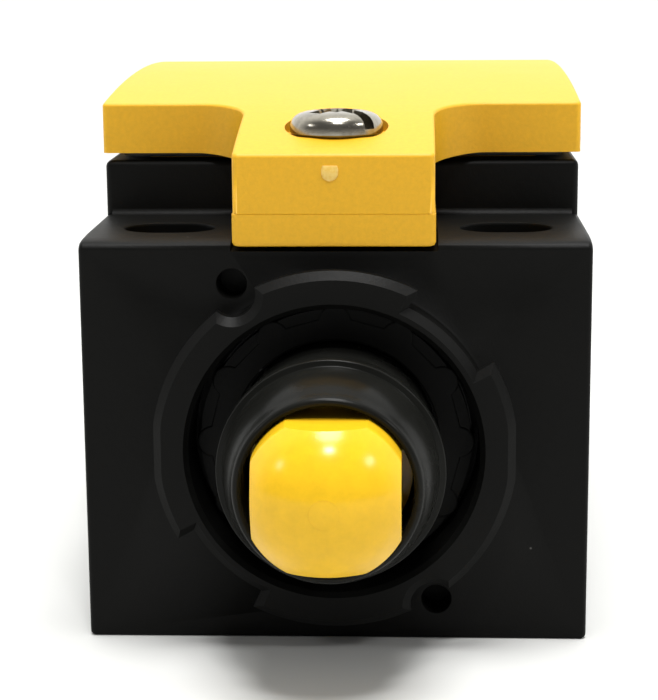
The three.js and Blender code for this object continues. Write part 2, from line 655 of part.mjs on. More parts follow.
function buildBlockCap() {
    const bottom = BLOCK_TOP + GAP;
    const plate = block([-BLOCK_HALF, BLOCK_FRONT, bottom], [BLOCK_HALF, BLOCK_REAR, CAP_TOP]);
    const barrier = block([-1, BLOCK_FRONT, CAP_TOP - 0.5], [1, BLOCK_REAR, CAP_TOP + 4]);
    const divider = block([-BLOCK_HALF, NO_TERMINAL_Y - 2.4, CAP_TOP - 0.5],
        [BLOCK_HALF, NO_TERMINAL_Y - 1.2, CAP_TOP + 3]);
    const tools = POLES.flatMap(({ front, screwY }) => SIDES.flatMap(({ sign }) => {
        const inner = TERMINAL_INNER - 0.15;
        const outer = TERMINAL_OUTER + 0.15;
        const left = sign < 0 ? -outer : inner;
        return [
            block([left, front - 0.15, bottom - 1], [left + outer - inner, front + TERMINAL_THICK + 0.15, CAP_TOP + 1]),
            cylinderZ(1.7, sign * TERMINAL_X, screwY, bottom - 1, CAP_TOP + 1, 16),
        ];
    }));
    return cut(union([plate, barrier, divider]), tools);
}

// Bent strip: fixed contact below the cap, clamping tongue on top of it.
function buildTerminal(sign, front, screwY) {
    const left = sign < 0 ? -TERMINAL_OUTER : TERMINAL_INNER;
    const right = sign < 0 ? -TERMINAL_INNER : TERMINAL_OUTER;
    const bottom = CAP_TOP + GAP;
    const leg = block([left, front, TERMINAL_BOTTOM], [right, front + TERMINAL_THICK, TERMINAL_TOP]);
    const tongue = block([left, front, bottom], [right, front + TERMINAL_LENGTH, TERMINAL_TOP]);
    const hole = cylinderZ(1.35, sign * TERMINAL_X, screwY, bottom - 1, TERMINAL_TOP + 1, 16);
    return leg.add(tongue).subtract(hole);
}

function buildClampPlate(sign, screwY) {
    const half = CLAMP_SIZE / 2;
    const bottom = TERMINAL_TOP + CLAMP_LIFT;
    const x = sign * TERMINAL_X;
    const plate = block([x - half, screwY - half, bottom], [x + half, screwY + half, bottom + CLAMP_THICK]);
    return plate.subtract(cylinderZ(1.45, x, screwY, bottom - 1, bottom + 2, 16));
}

// Cheese-head screw with a straight slot.
function slottedScrew(x, y, seat, headR, headHeight, shankR, tip) {
    const top = seat + headHeight;
    const profile = [[0, tip], [shankR, tip], [shankR, seat], [headR, seat], [headR, top - 0.3],
        [headR - 0.3, top], [0, top]];
    const screw = turnedZ(profile, x, y, 16);
    return screw.subtract(block([x - headR - 1, y - 0.35, top - 0.8], [x + headR + 1, y + 0.35, top + 1]));
}

function buildCarrier() {
    const rear = CARRIER_FRONT + CARRIER_LENGTH;
    const bar = block([-CARRIER_HALF, CARRIER_FRONT, CARRIER_BOTTOM], [CARRIER_HALF, rear, CARRIER_TOP]);
    const windowOf = (front, back) => block([-CARRIER_HALF - 1, front, AXIS_Z - WINDOW_HALF_HEIGHT],
        [CARRIER_HALF + 1, back, AXIS_Z + WINDOW_HALF_HEIGHT]);
    const ncFront = NC_BRIDGE_Y - BRIDGE_THICK / 2 - GAP;
    const ncRear = NC_BRIDGE_Y + BRIDGE_THICK / 2 + NC_SPRING_LENGTH + 2 * GAP;
    const noFront = NO_BRIDGE_Y - BRIDGE_THICK / 2 - NO_SPRING_LENGTH - 2 * GAP;
    const noRear = NO_BRIDGE_Y + BRIDGE_THICK / 2 + GAP;
    return cut(bar, [windowOf(ncFront, ncRear), windowOf(noFront, noRear)]);
}

function buildBridge(y) {
    const half = BRIDGE_THICK / 2;
    return block([-BRIDGE_HALF, y - half, AXIS_Z - BRIDGE_HEIGHT / 2],
        [BRIDGE_HALF, y + half, AXIS_Z + BRIDGE_HEIGHT / 2]);
}

// ---------------------------------------------------------------- assembly

const limitSwitch = new THREE.Group();

function place(name, solid, material) {
    const mesh = new THREE.Mesh(toGeometry(solid), material);
    mesh.name = name;
    limitSwitch.add(mesh);
}

place('housing', buildHousing(), blackPlastic);
place('cover', buildCover(), yellowPlastic);
place('cover_gasket', buildGasket(), rubber);
place('cover_screw', buildCoverScrew(), nickel);
place('cover_screw_washer', buildCoverScrewWasher(), rubber);
place('cover_screw_insert', buildInsert(), brass);

place('plunger', buildPlunger(), yellowGloss);
place('plunger_guide', buildPlungerGuide(), guidePlastic);
place('guide_ring', buildGuideRing(), blackPlastic);
place('guide_seal', sealRing(GUIDE_SEAL_R, GUIDE_SEAL_SECTION, RECESS_FLOOR + GUIDE_SEAL_SECTION), rubber);
place('plunger_seal', sealRing(PLUNGER_R - 0.45, 0.52, PLUNGER_FLAT_REAR + 1.6), rubber);
place('spring_seat', buildSpringSeat(), steel);
place('stem_clip', buildStemClip(), steel);
place('return_spring', helix(3.4, 0.55, 5, PLUNGER_HEAD_REAR + GAP, SHOULDER_Y - 0.65 - GAP), steel);

place('contact_block_base', buildBlockBase(), greenPlastic);
place('contact_block_cap', buildBlockCap(), greenPlastic);
place('contact_carrier', buildCarrier(), innerPlastic);
place('nc_bridge', buildBridge(NC_BRIDGE_Y), silver);
place('no_bridge', buildBridge(NO_BRIDGE_Y), silver);
const ncSpringFront = NC_BRIDGE_Y + BRIDGE_THICK / 2 + GAP;
place('nc_contact_spring', helix(1.4, 0.35, 5, ncSpringFront, ncSpringFront + NC_SPRING_LENGTH), steel);
const noSpringRear = NO_BRIDGE_Y - BRIDGE_THICK / 2 - GAP;
place('no_contact_spring', helix(1.4, 0.35, 5, noSpringRear - NO_SPRING_LENGTH, noSpringRear), steel);

for (const { pole, front, screwY } of POLES) {
    for (const { name, sign } of SIDES) {
        const seat = TERMINAL_TOP + CLAMP_LIFT + CLAMP_THICK + 0.05;
        place(`terminal_${pole}_${name}`, buildTerminal(sign, front, screwY), brass);
        place(`clamp_plate_${pole}_${name}`, buildClampPlate(sign, screwY), steel);
        place(`clamp_screw_${pole}_${name}`,
            slottedScrew(sign * TERMINAL_X, screwY, seat, 2.4, 1.8, 1.25, CAP_TOP - 0.9), steel);
    }
}
for (const { name, sign } of SIDES) {
    const y = BLOCK_REAR + EAR_LENGTH / 2;
    const seat = EAR_BOTTOM + EAR_HEIGHT + 0.05;
    place(`block_screw_${name}`, slottedScrew(sign * 7, y, seat, 2.1, 1.6, 1.1, FLOOR + 0.6), steel);
}

export default limitSwitch;
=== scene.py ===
"""Limit switch with a domed plunger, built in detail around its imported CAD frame.

All sizes are metres in the frame of the CAD model: the mounting face lies on Z = 0, the plunger
points along -Y and the cable entry opens along +Y.
"""

import json
import math

import bmesh
import bpy
from bpy.props import FloatProperty, FloatVectorProperty, IntProperty, PointerProperty
from mathutils import Matrix, Vector


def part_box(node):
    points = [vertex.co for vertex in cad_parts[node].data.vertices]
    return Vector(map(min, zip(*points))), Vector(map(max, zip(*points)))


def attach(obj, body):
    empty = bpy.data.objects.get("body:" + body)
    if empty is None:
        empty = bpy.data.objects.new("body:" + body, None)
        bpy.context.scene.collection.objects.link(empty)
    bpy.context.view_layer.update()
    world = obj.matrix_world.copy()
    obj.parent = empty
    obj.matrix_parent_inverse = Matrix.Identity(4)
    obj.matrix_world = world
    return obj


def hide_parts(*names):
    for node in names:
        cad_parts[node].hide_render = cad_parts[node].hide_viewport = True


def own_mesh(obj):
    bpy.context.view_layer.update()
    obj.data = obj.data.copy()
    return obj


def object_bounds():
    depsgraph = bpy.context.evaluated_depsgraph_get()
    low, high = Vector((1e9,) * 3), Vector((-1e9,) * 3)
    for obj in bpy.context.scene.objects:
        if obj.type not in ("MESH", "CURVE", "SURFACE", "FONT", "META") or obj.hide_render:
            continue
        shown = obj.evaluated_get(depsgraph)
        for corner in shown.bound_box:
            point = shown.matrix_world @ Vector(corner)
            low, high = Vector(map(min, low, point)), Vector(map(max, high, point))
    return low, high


bl_info = {
    "name": "Limit Switch Builder",
    "version": (1, 0, 0),
    "blender": (4, 5, 0),
    "location": "View3D > Sidebar > Switch",
    "description": "Builds a detailed limit switch around its CAD frame",
    "category": "Object",
}

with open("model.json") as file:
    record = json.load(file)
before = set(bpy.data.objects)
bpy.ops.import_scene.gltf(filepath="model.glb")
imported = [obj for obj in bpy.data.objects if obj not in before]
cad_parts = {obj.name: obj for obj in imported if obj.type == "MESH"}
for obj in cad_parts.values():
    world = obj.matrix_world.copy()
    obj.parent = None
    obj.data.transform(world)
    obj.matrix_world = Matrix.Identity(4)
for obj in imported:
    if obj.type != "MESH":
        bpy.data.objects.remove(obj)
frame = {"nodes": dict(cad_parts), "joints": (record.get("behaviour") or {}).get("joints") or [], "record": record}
CAD_LOW, CAD_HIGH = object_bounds()

MM = 0.001
NEAR = 1e-7
MERGE = 1e-6
MOUNTS = {mount["name"]: Vector(mount["pos_m"]) for mount in frame["record"]["mounts"]}
JOINTS = {joint["name"]: joint for joint in frame["joints"]}

HOUSING_LOW, HOUSING_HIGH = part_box("housing")
COVER_LOW, COVER_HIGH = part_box("cover")
PLUNGER_LOW, PLUNGER_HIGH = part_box("plunger")
REAR = HOUSING_HIGH.y
FRONT = -REAR
HALF_WIDTH = HOUSING_HIGH.x
AXIS_Z = (PLUNGER_LOW.z + PLUNGER_HIGH.z) / 2
EAR_TOP = MOUNTS["left_ear_seat"].z
EAR_DEPTH = 11.3 * MM
UPPER_FRONT = FRONT + EAR_DEPTH
UPPER_HALF = HALF_WIDTH - 0.05 * MM
WALL_TOP = HOUSING_HIGH.z
COVER_BOTTOM = 29.15 * MM
COLLAR_FRONT = HOUSING_LOW.y
SCREW_AT = Vector((0, FRONT + 5 * MM, 0))
CAVITY_HALF = HALF_WIDTH - 2.4 * MM
CAVITY_FRONT = FRONT + 9.5 * MM
CAVITY_REAR = REAR - 4.5 * MM
CAVITY_FLOOR = 2.2 * MM
RECESS_FLOOR = FRONT + 2.5 * MM
SHOULDER = FRONT + 6.5 * MM
CROWN_RADIUS = 190 * MM
CROWN_CENTRE = 1.5 * MM
HINGE_AT = Vector(JOINTS["cover_hinge"]["pos_m"])
HINGE_SPREAD = 9.65 * MM
CONTACT_SPREAD = 7 * MM


# ------------------------------------------------------------------ settings a user may change


class SwitchSizes(bpy.types.PropertyGroup):
    """Radii and counts of the details that the frame leaves open."""

    body_edge: FloatProperty(
        name="Body edge", description="Rounding of the housing's outer edges",
        default=0.4 * MM, unit="LENGTH")
    cover_edge: FloatProperty(
        name="Cover edge", description="Rounding of the cover's top edge",
        default=0.2 * MM, unit="LENGTH")
    slot_width: FloatProperty(
        name="Slot width", description="Width of a mounting slot",
        default=4.3 * MM, unit="LENGTH")
    slot_length: FloatProperty(
        name="Slot length", description="Length of a mounting slot over its round ends",
        default=5.6 * MM, unit="LENGTH")
    collar_chamfer: FloatProperty(
        name="Collar chamfer", description="Chamfer on the front edge of the bayonet collar",
        default=0.5 * MM, unit="LENGTH")
    ring_lobes: IntProperty(
        name="Ring lobes", description="Number of lobes on the ring that holds the guide",
        default=12, min=3)
    entry_threads: IntProperty(
        name="Entry threads", description="Number of thread turns in the cable entry",
        default=3, min=1)
    slot_turn: FloatProperty(
        name="Screw slot turn", description="Angle at which the cover screw's slot came to rest",
        default=math.radians(-43), subtype="ANGLE")


class SwitchColours(bpy.types.PropertyGroup):
    """Base colours of the visible materials, as linear values."""

    housing: FloatVectorProperty(
        name="Housing", description="Black of the moulded housing",
        default=(0.0028, 0.0028, 0.0025), subtype="COLOR", min=0, max=1)
    cover: FloatVectorProperty(
        name="Cover", description="Yellow of the moulded cover",
        default=(0.80, 0.425, 0.006), subtype="COLOR", min=0, max=1)
    plunger: FloatVectorProperty(
        name="Plunger", description="Yellow of the polished plunger",
        default=(0.87, 0.515, 0.014), subtype="COLOR", min=0, max=1)
    guide: FloatVectorProperty(
        name="Guide", description="Black of the plunger guide",
        default=(0.0068, 0.0069, 0.006), subtype="COLOR", min=0, max=1)
    block: FloatVectorProperty(
        name="Contact block", description="Green of the contact block",
        default=(0.045, 0.15, 0.095), subtype="COLOR", min=0, max=1)


def sizes():
    return bpy.context.scene.switch_sizes


def colours():
    return bpy.context.scene.switch_colours


# ------------------------------------------------------------------ mesh tools


def circle_points(radius, count, centre, start, sweep):
    """Points of an arc in the X-Z plane, both its ends among them."""
    turns = [start + sweep * i / (count - 1) for i in range(count)]
    return [centre + Vector((radius * math.cos(a), 0, radius * math.sin(a))) for a in turns]


def is_upright(edge):
    a, b = edge.verts
    return abs((a.co - b.co).normalized().z) > 0.9


def box(bm, low, high, radius=0.0, segments=3, chosen=None):
    """Closed box between two corners, with the chosen edges (or all) rounded."""
    low, high = Vector(low), Vector(high)
    size = high - low
    matrix = Matrix.Translation((low + high) / 2) @ Matrix.Diagonal((*size, 1))
    made = bmesh.ops.create_cube(bm, size=1, matrix=matrix)
    if radius:
        edges = {edge for vert in made["verts"] for edge in vert.link_edges}
        round_edges(bm, [edge for edge in edges if chosen is None or chosen(edge)], radius, segments)


def round_edges(bm, edges, radius, segments=3):
    bmesh.ops.bevel(
        bm, geom=list(edges), offset=radius, offset_type="OFFSET", segments=segments,
        profile=0.5, affect="EDGES", material=-1, clamp_overlap=True)


def round_corners(bm, verts, radius, segments):
    bmesh.ops.bevel(
        bm, geom=list(verts), offset=radius, offset_type="OFFSET", segments=segments,
        profile=0.5, affect="VERTICES", material=-1)


def push(bm, face, direction):
    """Turns a flat face into a closed solid, and returns the moved copy of the face."""
    made = bmesh.ops.extrude_face_region(bm, geom=[face])["geom"]
    verts = [part for part in made if isinstance(part, bmesh.types.BMVert)]
    bmesh.ops.translate(bm, verts=verts, vec=Vector(direction))
    bmesh.ops.recalc_face_normals(bm, faces=bm.faces)
    return next(part for part in made if isinstance(part, bmesh.types.BMFace))


def prism(bm, points, direction, rounding=0.0, segments=2):
    """Solid raised on an outline, with the rim of its far face rounded."""
    far = push(bm, bm.faces.new([bm.verts.new(point) for point in points]), direction)
    if rounding:
        round_edges(bm, far.edges, rounding, segments)


def turned(bm, profile, steps, centre=(0, 0, AXIS_Z), axis="Y"):
    """Closed solid of revolution from (radius, distance along the axis) points."""
    along = {"Y": Vector((0, 1, 0)), "Z": Vector((0, 0, 1)), "X": Vector((1, 0, 0))}[axis]
    across = Vector((0, 0, 1)) if axis == "X" else Vector((1, 0, 0))
    centre = Vector(centre)
    verts = [bm.verts.new(centre + across * radius + along * place) for radius, place in profile]
    edges = [bm.edges.new(pair) for pair in zip(verts, verts[1:])]
    if profile[0][0] > 0:
        edges.append(bm.edges.new((verts[-1], verts[0])))
    bmesh.ops.spin(
        bm, geom=verts + edges, cent=centre, axis=along, angle=2 * math.pi, steps=steps,
        use_merge=True, use_duplicate=False)
    bmesh.ops.remove_doubles(bm, verts=bm.verts, dist=NEAR)
    bmesh.ops.recalc_face_normals(bm, faces=bm.faces)


def arc(centre, radius, start, end, steps):
    """Profile points on an arc, angles in degrees, for use inside a turned profile."""
    turns = [math.radians(start + (end - start) * i / steps) for i in range(steps + 1)]
    return [(centre[0] + radius * math.cos(a), centre[1] + radius * math.sin(a)) for a in turns]


def solid(build, *args, **options):
    """Temporary object from one mesh-building call."""
    bm = bmesh.new()
    build(bm, *args, **options)
    bmesh.ops.recalc_face_normals(bm, faces=bm.faces)
    return as_object(bm, "tool")


def as_object(bm, name):
    mesh = bpy.data.meshes.new(name)
    bm.to_mesh(mesh)
    bm.free()
    made = bpy.data.objects.new(name, mesh)
    bpy.context.scene.collection.objects.link(made)
    return made


def bake_modifiers(piece):
    graph = bpy.context.evaluated_depsgraph_get()
    mesh = bpy.data.meshes.new_from_object(piece.evaluated_get(graph), depsgraph=graph)
    piece.modifiers.clear()
    piece.data = mesh


def combine(piece, tools, operation):
    """Joins the tools to a piece or cuts them out of it, and removes them."""
    for tool in tools:
        modifier = piece.modifiers.new("combine", "BOOLEAN")
        modifier.operation = operation
        modifier.solver = "EXACT"
        modifier.object = tool
    bake_modifiers(piece)
    for tool in tools:
        bpy.data.objects.remove(tool)
    if not piece.data.polygons:
        raise RuntimeError(f"combining {piece.name} left nothing of it")


def add_shell(piece, tool):
    """Puts a closed shell that is rooted in a piece into the piece's mesh."""
    bm = bmesh.new()
    bm.from_mesh(piece.data)
    bm.from_mesh(tool.data)
    bm.to_mesh(piece.data)
    bm.free()
    bpy.data.objects.remove(tool)


def cad_copy(node):
    """Joined-up copy of a CAD node's mesh, with its flat faces made whole."""
    bm = bmesh.new()
    bm.from_mesh(frame["nodes"][node].data)
    bmesh.ops.remove_doubles(bm, verts=bm.verts, dist=MERGE)
    bmesh.ops.dissolve_limit(
        bm, angle_limit=math.radians(1), use_dissolve_boundaries=False,
        verts=bm.verts, edges=bm.edges)
    return as_object(bm, node + "_piece")


def soften(piece, width, segments=2, limit=35):
    """Live bevel on every sharp edge."""
    modifier = piece.modifiers.new("edges", "BEVEL")
    modifier.width = width
    modifier.segments = segments
    modifier.limit_method = "ANGLE"
    modifier.angle_limit = math.radians(limit)
    modifier.use_clamp_overlap = True


def finish_piece(piece, name, body, material, nodes, sharp=38):
    """Names, shades and paints a piece, and hands it to the frame; sharp is in degrees."""
    piece.name = name
    piece.data.name = name
    piece.data.materials.clear()
    piece.data.materials.append(material)
    piece.data.shade_smooth()
    piece.data.set_sharp_from_angle(angle=math.radians(sharp))
    weighted = piece.modifiers.new("weighted normals", "WEIGHTED_NORMAL")
    weighted.keep_sharp = True
    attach(piece, body)
    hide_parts(*nodes)


# ------------------------------------------------------------------ shader tools


class Value:
    """Number socket: arithmetic on it adds Math nodes to its material."""

    def __init__(self, shader, socket):
        self.shader = shader
        self.socket = socket

    def maths(self, operation, *others, **settings):
        return self.shader.node(
            "ShaderNodeMath", {"operation": operation, **settings},
            {index: other for index, other in enumerate((self, *others))})

    def __add__(self, other):
        return self.maths("ADD", other)

    def __mul__(self, other):
        return self.maths("MULTIPLY", other)

    def __lt__(self, other):
        return self.maths("LESS_THAN", other)

    __radd__ = __add__
    __rmul__ = __mul__

    def clamped(self):
        return self.maths("ADD", 0.0, use_clamp=True)


class Shader:
    """One material with a Principled surface, and the single way in which its nodes are added."""

    def __init__(self, name):
        self.material = bpy.data.materials.new(name)
        self.material.use_nodes = True
        self.tree = self.material.node_tree
        self.surface = self.tree.nodes["Principled BSDF"]

    def node(self, kind, settings=None, inputs=None, output=0):
        made = self.tree.nodes.new(kind)
        for key, value in (settings or {}).items():
            setattr(made, key, value)
        for key, value in (inputs or {}).items():
            self.feed(made.inputs[key], value)
        return Value(self, made.outputs[output])

    def feed(self, socket, value):
        if isinstance(value, Value):
            self.tree.links.new(value.socket, socket)
        else:
            socket.default_value = value

    def set(self, **values):
        for key, value in values.items():
            self.feed(self.surface.inputs[key.replace("_", " ")], value)

    def place(self, scale=(1, 1, 1)):
        """Object coordinates, scaled to stretch a pattern along an axis."""
        spot = self.node("ShaderNodeTexCoord", output="Object")
        return self.node("ShaderNodeMapping", inputs={"Vector": spot, "Scale": scale})

    def noise(self, size, detail=2.0, roughness=0.5, where=None, distortion=0.0):
        return self.node(
            "ShaderNodeTexNoise", inputs={
                "Vector": where or self.place(), "Scale": 1 / size, "Detail": detail,
                "Roughness": roughness, "Distortion": distortion}, output="Fac")

    def ramp(self, factor, low, high):
        """Straight rise from 0 at the low value to 1 at the high one."""
        return self.node(
            "ShaderNodeMapRange", {"clamp": True},
            {"Value": factor, "From Min": low, "From Max": high}, output="Result")

    def blend(self, factor, first, second):
        """Mix of two colours, by the inputs and output of the Mix node that hold colours."""
        return self.node(
            "ShaderNodeMix", {"data_type": "RGBA"}, {0: factor, 6: first, 7: second}, output=2)

    def bump(self, height, depth, strength=1.0, under=None):
        inputs = {"Height": height, "Distance": depth, "Strength": strength}
        if under:
            inputs["Normal"] = under
        return self.node("ShaderNodeBump", inputs=inputs)


def shade(colour, factor):
    """Lighter or darker copy of a colour, with full alpha."""
    return (*[min(1, part * factor) for part in colour], 1)


def dust(shader, size, share):
    """Mask of small scattered specks: one cell in a few holds one."""
    cell = {"Vector": shader.place(), "Scale": 1 / size, "Randomness": 1.0}
    distance = shader.node("ShaderNodeTexVoronoi", inputs=cell, output="Distance")
    pick = shader.node("ShaderNodeTexVoronoi", inputs=cell, output="Color")
    chance = shader.node("ShaderNodeSeparateColor", inputs={"Color": pick}, output="Red")
    size_of_speck = shader.node("ShaderNodeSeparateColor", inputs={"Color": pick}, output="Green")
    return (distance < size_of_speck * 0.09 + 0.02) * (chance < share)


def black_plastic(name, colour, roughness, grain, grain_depth, specular, specks):
    """Moulded black: eroded grain, soft blotches in the sheen, a few specks of dust."""
    shader = Shader(name)
    blotch = shader.noise(5 * MM, 4, 0.6)
    fine = shader.noise(grain, 3, 0.65)
    pits = shader.noise(grain * 2.7, 2, 0.5)
    specked = dust(shader, 1.5 * MM, specks)
    smudge = shader.ramp(shader.noise(11 * MM, 3, 0.55, distortion=0.6), 0.45, 0.75)
    body = shader.blend(blotch, shade(colour, 0.75), shade(colour, 1.5))
    worn = shader.blend(smudge * 0.35, body, shade(colour, 2.2))
    shader.set(
        Base_Color=shader.blend(specked, worn, (0.09, 0.09, 0.085, 1)),
        Roughness=(blotch * 0.16 + (roughness - 0.08) + smudge * 0.05).clamped(),
        Specular_IOR_Level=specular,
        Normal=shader.bump(fine, grain_depth, 0.55, shader.bump(pits, grain_depth * 1.6, 0.4)))
    return shader.material


def broken_gate(shader, colour, body):
    """Paler, torn plastic on whatever stands proud of the tongue's front."""
    along = shader.node("ShaderNodeSeparateXYZ", inputs={"Vector": shader.place()}, output="Y")
    torn = shader.noise(0.22 * MM, 4, 0.7)
    pale = shader.blend(torn, shade(colour, 0.9), (0.9, 0.7, 0.25, 1))
    shader.set(Base_Color=shader.blend(along < TONGUE_FRONT - GATE_PROUD, body, pale))


def coloured_plastic(name, colour, roughness, grain, grain_depth, specular=0.45, gate=False):
    """Moulded plastic: slightly uneven tint, fine grain, faint dirt in the low spots."""
    shader = Shader(name)
    tint = shader.noise(6 * MM, 3, 0.55)
    fine = shader.noise(grain, 2, 0.6)
    flecks = shader.noise(grain * 1.9, 4, 0.7)
    body = shader.blend(tint, shade(colour, 0.965), shade(colour, 1.03))
    grained = shader.blend(shader.ramp(flecks, 0.35, 0.7), shade(colour, 0.9), body)
    dirt = shader.ramp(shader.noise(2.2 * MM, 5, 0.7), 0.62, 0.8)
    soiled = shader.blend(dirt * 0.1, grained, (0.45, 0.24, 0.03, 1))
    shader.set(
        Base_Color=soiled,
        Roughness=(tint * 0.08 + (roughness - 0.04)).clamped(),
        Normal=shader.bump(fine, grain_depth, 0.5),
        Specular_IOR_Level=specular)
    if gate:
        broken_gate(shader, colour, soiled)
    return shader.material


def metal(name, colour, roughness, streak, tarnish):
    """Plated or bare metal with fine streaks and darker tarnish."""
    shader = Shader(name)
    lines = shader.noise(0.12 * MM, 3, 0.6, where=shader.place(streak))
    cloud = shader.ramp(shader.noise(0.9 * MM, 4, 0.6), 0.4, 0.75)
    shader.set(
        Metallic=1.0,
        Base_Color=shader.blend(cloud * tarnish, shade(colour, 1), shade(colour, 0.45)),
        Roughness=(lines * 0.14 + cloud * 0.12 + (roughness - 0.08)).clamped(),
        Normal=shader.bump(lines, 0.006 * MM, 0.35))
    return shader.material


def soft_rubber():
    """Dull rubber with a dusty bloom."""
    shader = Shader("seal_rubber")
    bloom = shader.ramp(shader.noise(1.4 * MM, 5, 0.65), 0.35, 0.8)
    fine = shader.noise(0.09 * MM, 2, 0.5)
    shader.set(
        Base_Color=shader.blend(bloom, (0.012, 0.012, 0.013, 1), (0.035, 0.034, 0.033, 1)),
        Roughness=(bloom * 0.12 + 0.68).clamped(),
        Normal=shader.bump(fine, 0.012 * MM, 0.5))
    return shader.material


MATERIALS = {}


def paint(name):
    """Material of that name, made when it is first asked for."""
    makers = {
        "housing": lambda: black_plastic(
            "housing_black", colours().housing, 0.46, 0.16 * MM, 0.02 * MM, 0.1, 0.05),
        "guide": lambda: black_plastic(
            "guide_black", colours().guide, 0.24, 0.12 * MM, 0.006 * MM, 0.08, 0.03),
        "cover": lambda: coloured_plastic(
            "cover_yellow", colours().cover, 0.5, 0.17 * MM, 0.022 * MM, gate=True),
        "plunger": lambda: coloured_plastic(
            "plunger_yellow", colours().plunger, 0.2, 0.5 * MM, 0.002 * MM, 0.3),
        "block": lambda: coloured_plastic("block_green", colours().block, 0.42, 0.15 * MM, 0.01 * MM),
        "carrier": lambda: coloured_plastic(
            "carrier_ivory", (0.62, 0.56, 0.42), 0.4, 0.15 * MM, 0.008 * MM),
        "nickel": lambda: metal("nickel_plate", (0.36, 0.335, 0.28), 0.17, (1, 1, 5), 0.75),
        "zinc": lambda: metal("zinc_steel", (0.56, 0.57, 0.6), 0.32, (4, 4, 1), 0.3),
        "brass": lambda: metal("bare_brass", (0.72, 0.5, 0.2), 0.28, (1, 6, 1), 0.35),
        "silver": lambda: metal("contact_silver", (0.82, 0.79, 0.74), 0.24, (6, 1, 1), 0.3),
        "rubber": soft_rubber,
    }
    if name not in MATERIALS:
        MATERIALS[name] = makers[name]()
    return MATERIALS[name]


# ------------------------------------------------------------------ housing

COLLAR_R = 11.05 * MM
COLLAR_SIDE = 10.93 * MM
NECK_R = 9.9 * MM
COLLAR_BORE = 8.8 * MM
FLANGE_THICK = 1.2 * MM
LOBE_START = 63
LOBE_END = 210
PILOT_ANGLE = 122
PILOT_CIRCLE = 11.7 * MM
PILOT_R = 0.9 * MM
NOTCH_R = 1.4 * MM
NOTCH_CIRCLE = 11.35 * MM
PASSAGE_R = 6.3 * MM
STEM_BORE = 2.6 * MM
ENTRY_CORE = 9.25 * MM
ENTRY_CREST = 10 * MM
ENTRY_FACE_R = 11.6 * MM
SLOT_Y = FRONT + 5.4 * MM
SLOT_SPACING = 21 * MM
SEAM = 0.03 * MM
LEDGE_FILLET = 0.5 * MM
TONGUE_SEAT_HALF = 6.25 * MM
TONGUE_SEAT_Z = 24.4 * MM
BOSS_R = 3 * MM
BOSS_BORE = 2.35 * MM
BOSS_TOP = 26.2 * MM
INSERT_FLOOR = 20.4 * MM
POST_R = 2.1 * MM
POST_TOP = 4.9 * MM
POST_BORE = 1.3 * MM
POST_FOOT = 1.5 * MM
POST_Y = 11.4 * MM
PILOT_DEPTH = 2.4 * MM
ENTRY_PITCH = 1.5 * MM

BLOCK_OUTLINE = (
    (FRONT + 0.25 * MM, 0), (FRONT + 0.07 * MM, 0.07 * MM), (FRONT, 0.25 * MM),
    (FRONT, EAR_TOP - 0.65 * MM), (FRONT + 0.12 * MM, EAR_TOP - 0.35 * MM),
    (FRONT + 0.5 * MM, EAR_TOP - 0.15 * MM), (FRONT + 1.4 * MM, EAR_TOP - 0.05 * MM),
    (FRONT + 2.9 * MM, EAR_TOP), (REAR, EAR_TOP),
    (REAR, 0.25 * MM), (REAR - 0.07 * MM, 0.07 * MM), (REAR - 0.25 * MM, 0))


def housing_block(bm):
    """Lower body, raised on its side outline, whose front edge above the collar is worn round."""
    prism(bm, [(-HALF_WIDTH, y, z) for y, z in BLOCK_OUTLINE], (2 * HALF_WIDTH, 0, 0))
    rims = [e for e in bm.edges if abs(e.verts[0].co.x - e.verts[1].co.x) < NEAR]
    round_edges(bm, rims, sizes().body_edge, 3)


def ledge_fillet(bm):
    """Concave strip where the front wall rises from the ears."""
    reach = UPPER_HALF - 0.4 * MM
    sunk = 0.01 * MM
    centre = (UPPER_FRONT - LEDGE_FILLET + sunk, EAR_TOP + LEDGE_FILLET - sunk)
    curve = arc(centre, LEDGE_FILLET, -90, 0, 6)
    outline = [(UPPER_FRONT + 0.2 * MM, EAR_TOP - 0.3 * MM), (curve[0][0], EAR_TOP - 0.3 * MM)]
    outline += curve + [(UPPER_FRONT + 0.2 * MM, curve[-1][1])]
    prism(bm, [(-reach, y, z) for y, z in outline], (2 * reach, 0, 0))


def flange_outline(y, inset):
    """Long flange and short gap, the same again after half a turn, drawn in by an inset."""
    points = []
    centre = Vector((0, y, AXIS_Z))
    ease = math.degrees(inset / COLLAR_R)
    arcs = (
        (NECK_R, LOBE_END - 180 - ease, LOBE_START + ease, 12),
        (COLLAR_R, LOBE_START + ease, LOBE_END - ease, 50))
    for turn in (0, 180):
        for radius, start, end, count in arcs:
            points += circle_points(
                radius - inset, count, centre, math.radians(turn + start), math.radians(end - start))
    for point in points:
        point.x = max(-COLLAR_SIDE + inset, min(COLLAR_SIDE - inset, point.x))
    return points


def bayonet_flange(bm):
    """Lobed plate at the collar's front, with a chamfer round its front edge."""
    rear = COLLAR_FRONT + FLANGE_THICK
    edge = sizes().collar_chamfer
    rings = ((rear, 0.1 * MM), (rear - 0.1 * MM, 0), (COLLAR_FRONT + edge, 0), (COLLAR_FRONT, edge))
    loft(bm, [flange_outline(y, inset) for y, inset in rings])


def pilot_spot(turn, circle):
    """Place of a pilot hole on a circle round the collar's axis; the turn is in degrees."""
    angle = math.radians(PILOT_ANGLE + turn)
    return Vector((circle * math.cos(angle), 0, AXIS_Z + circle * math.sin(angle)))


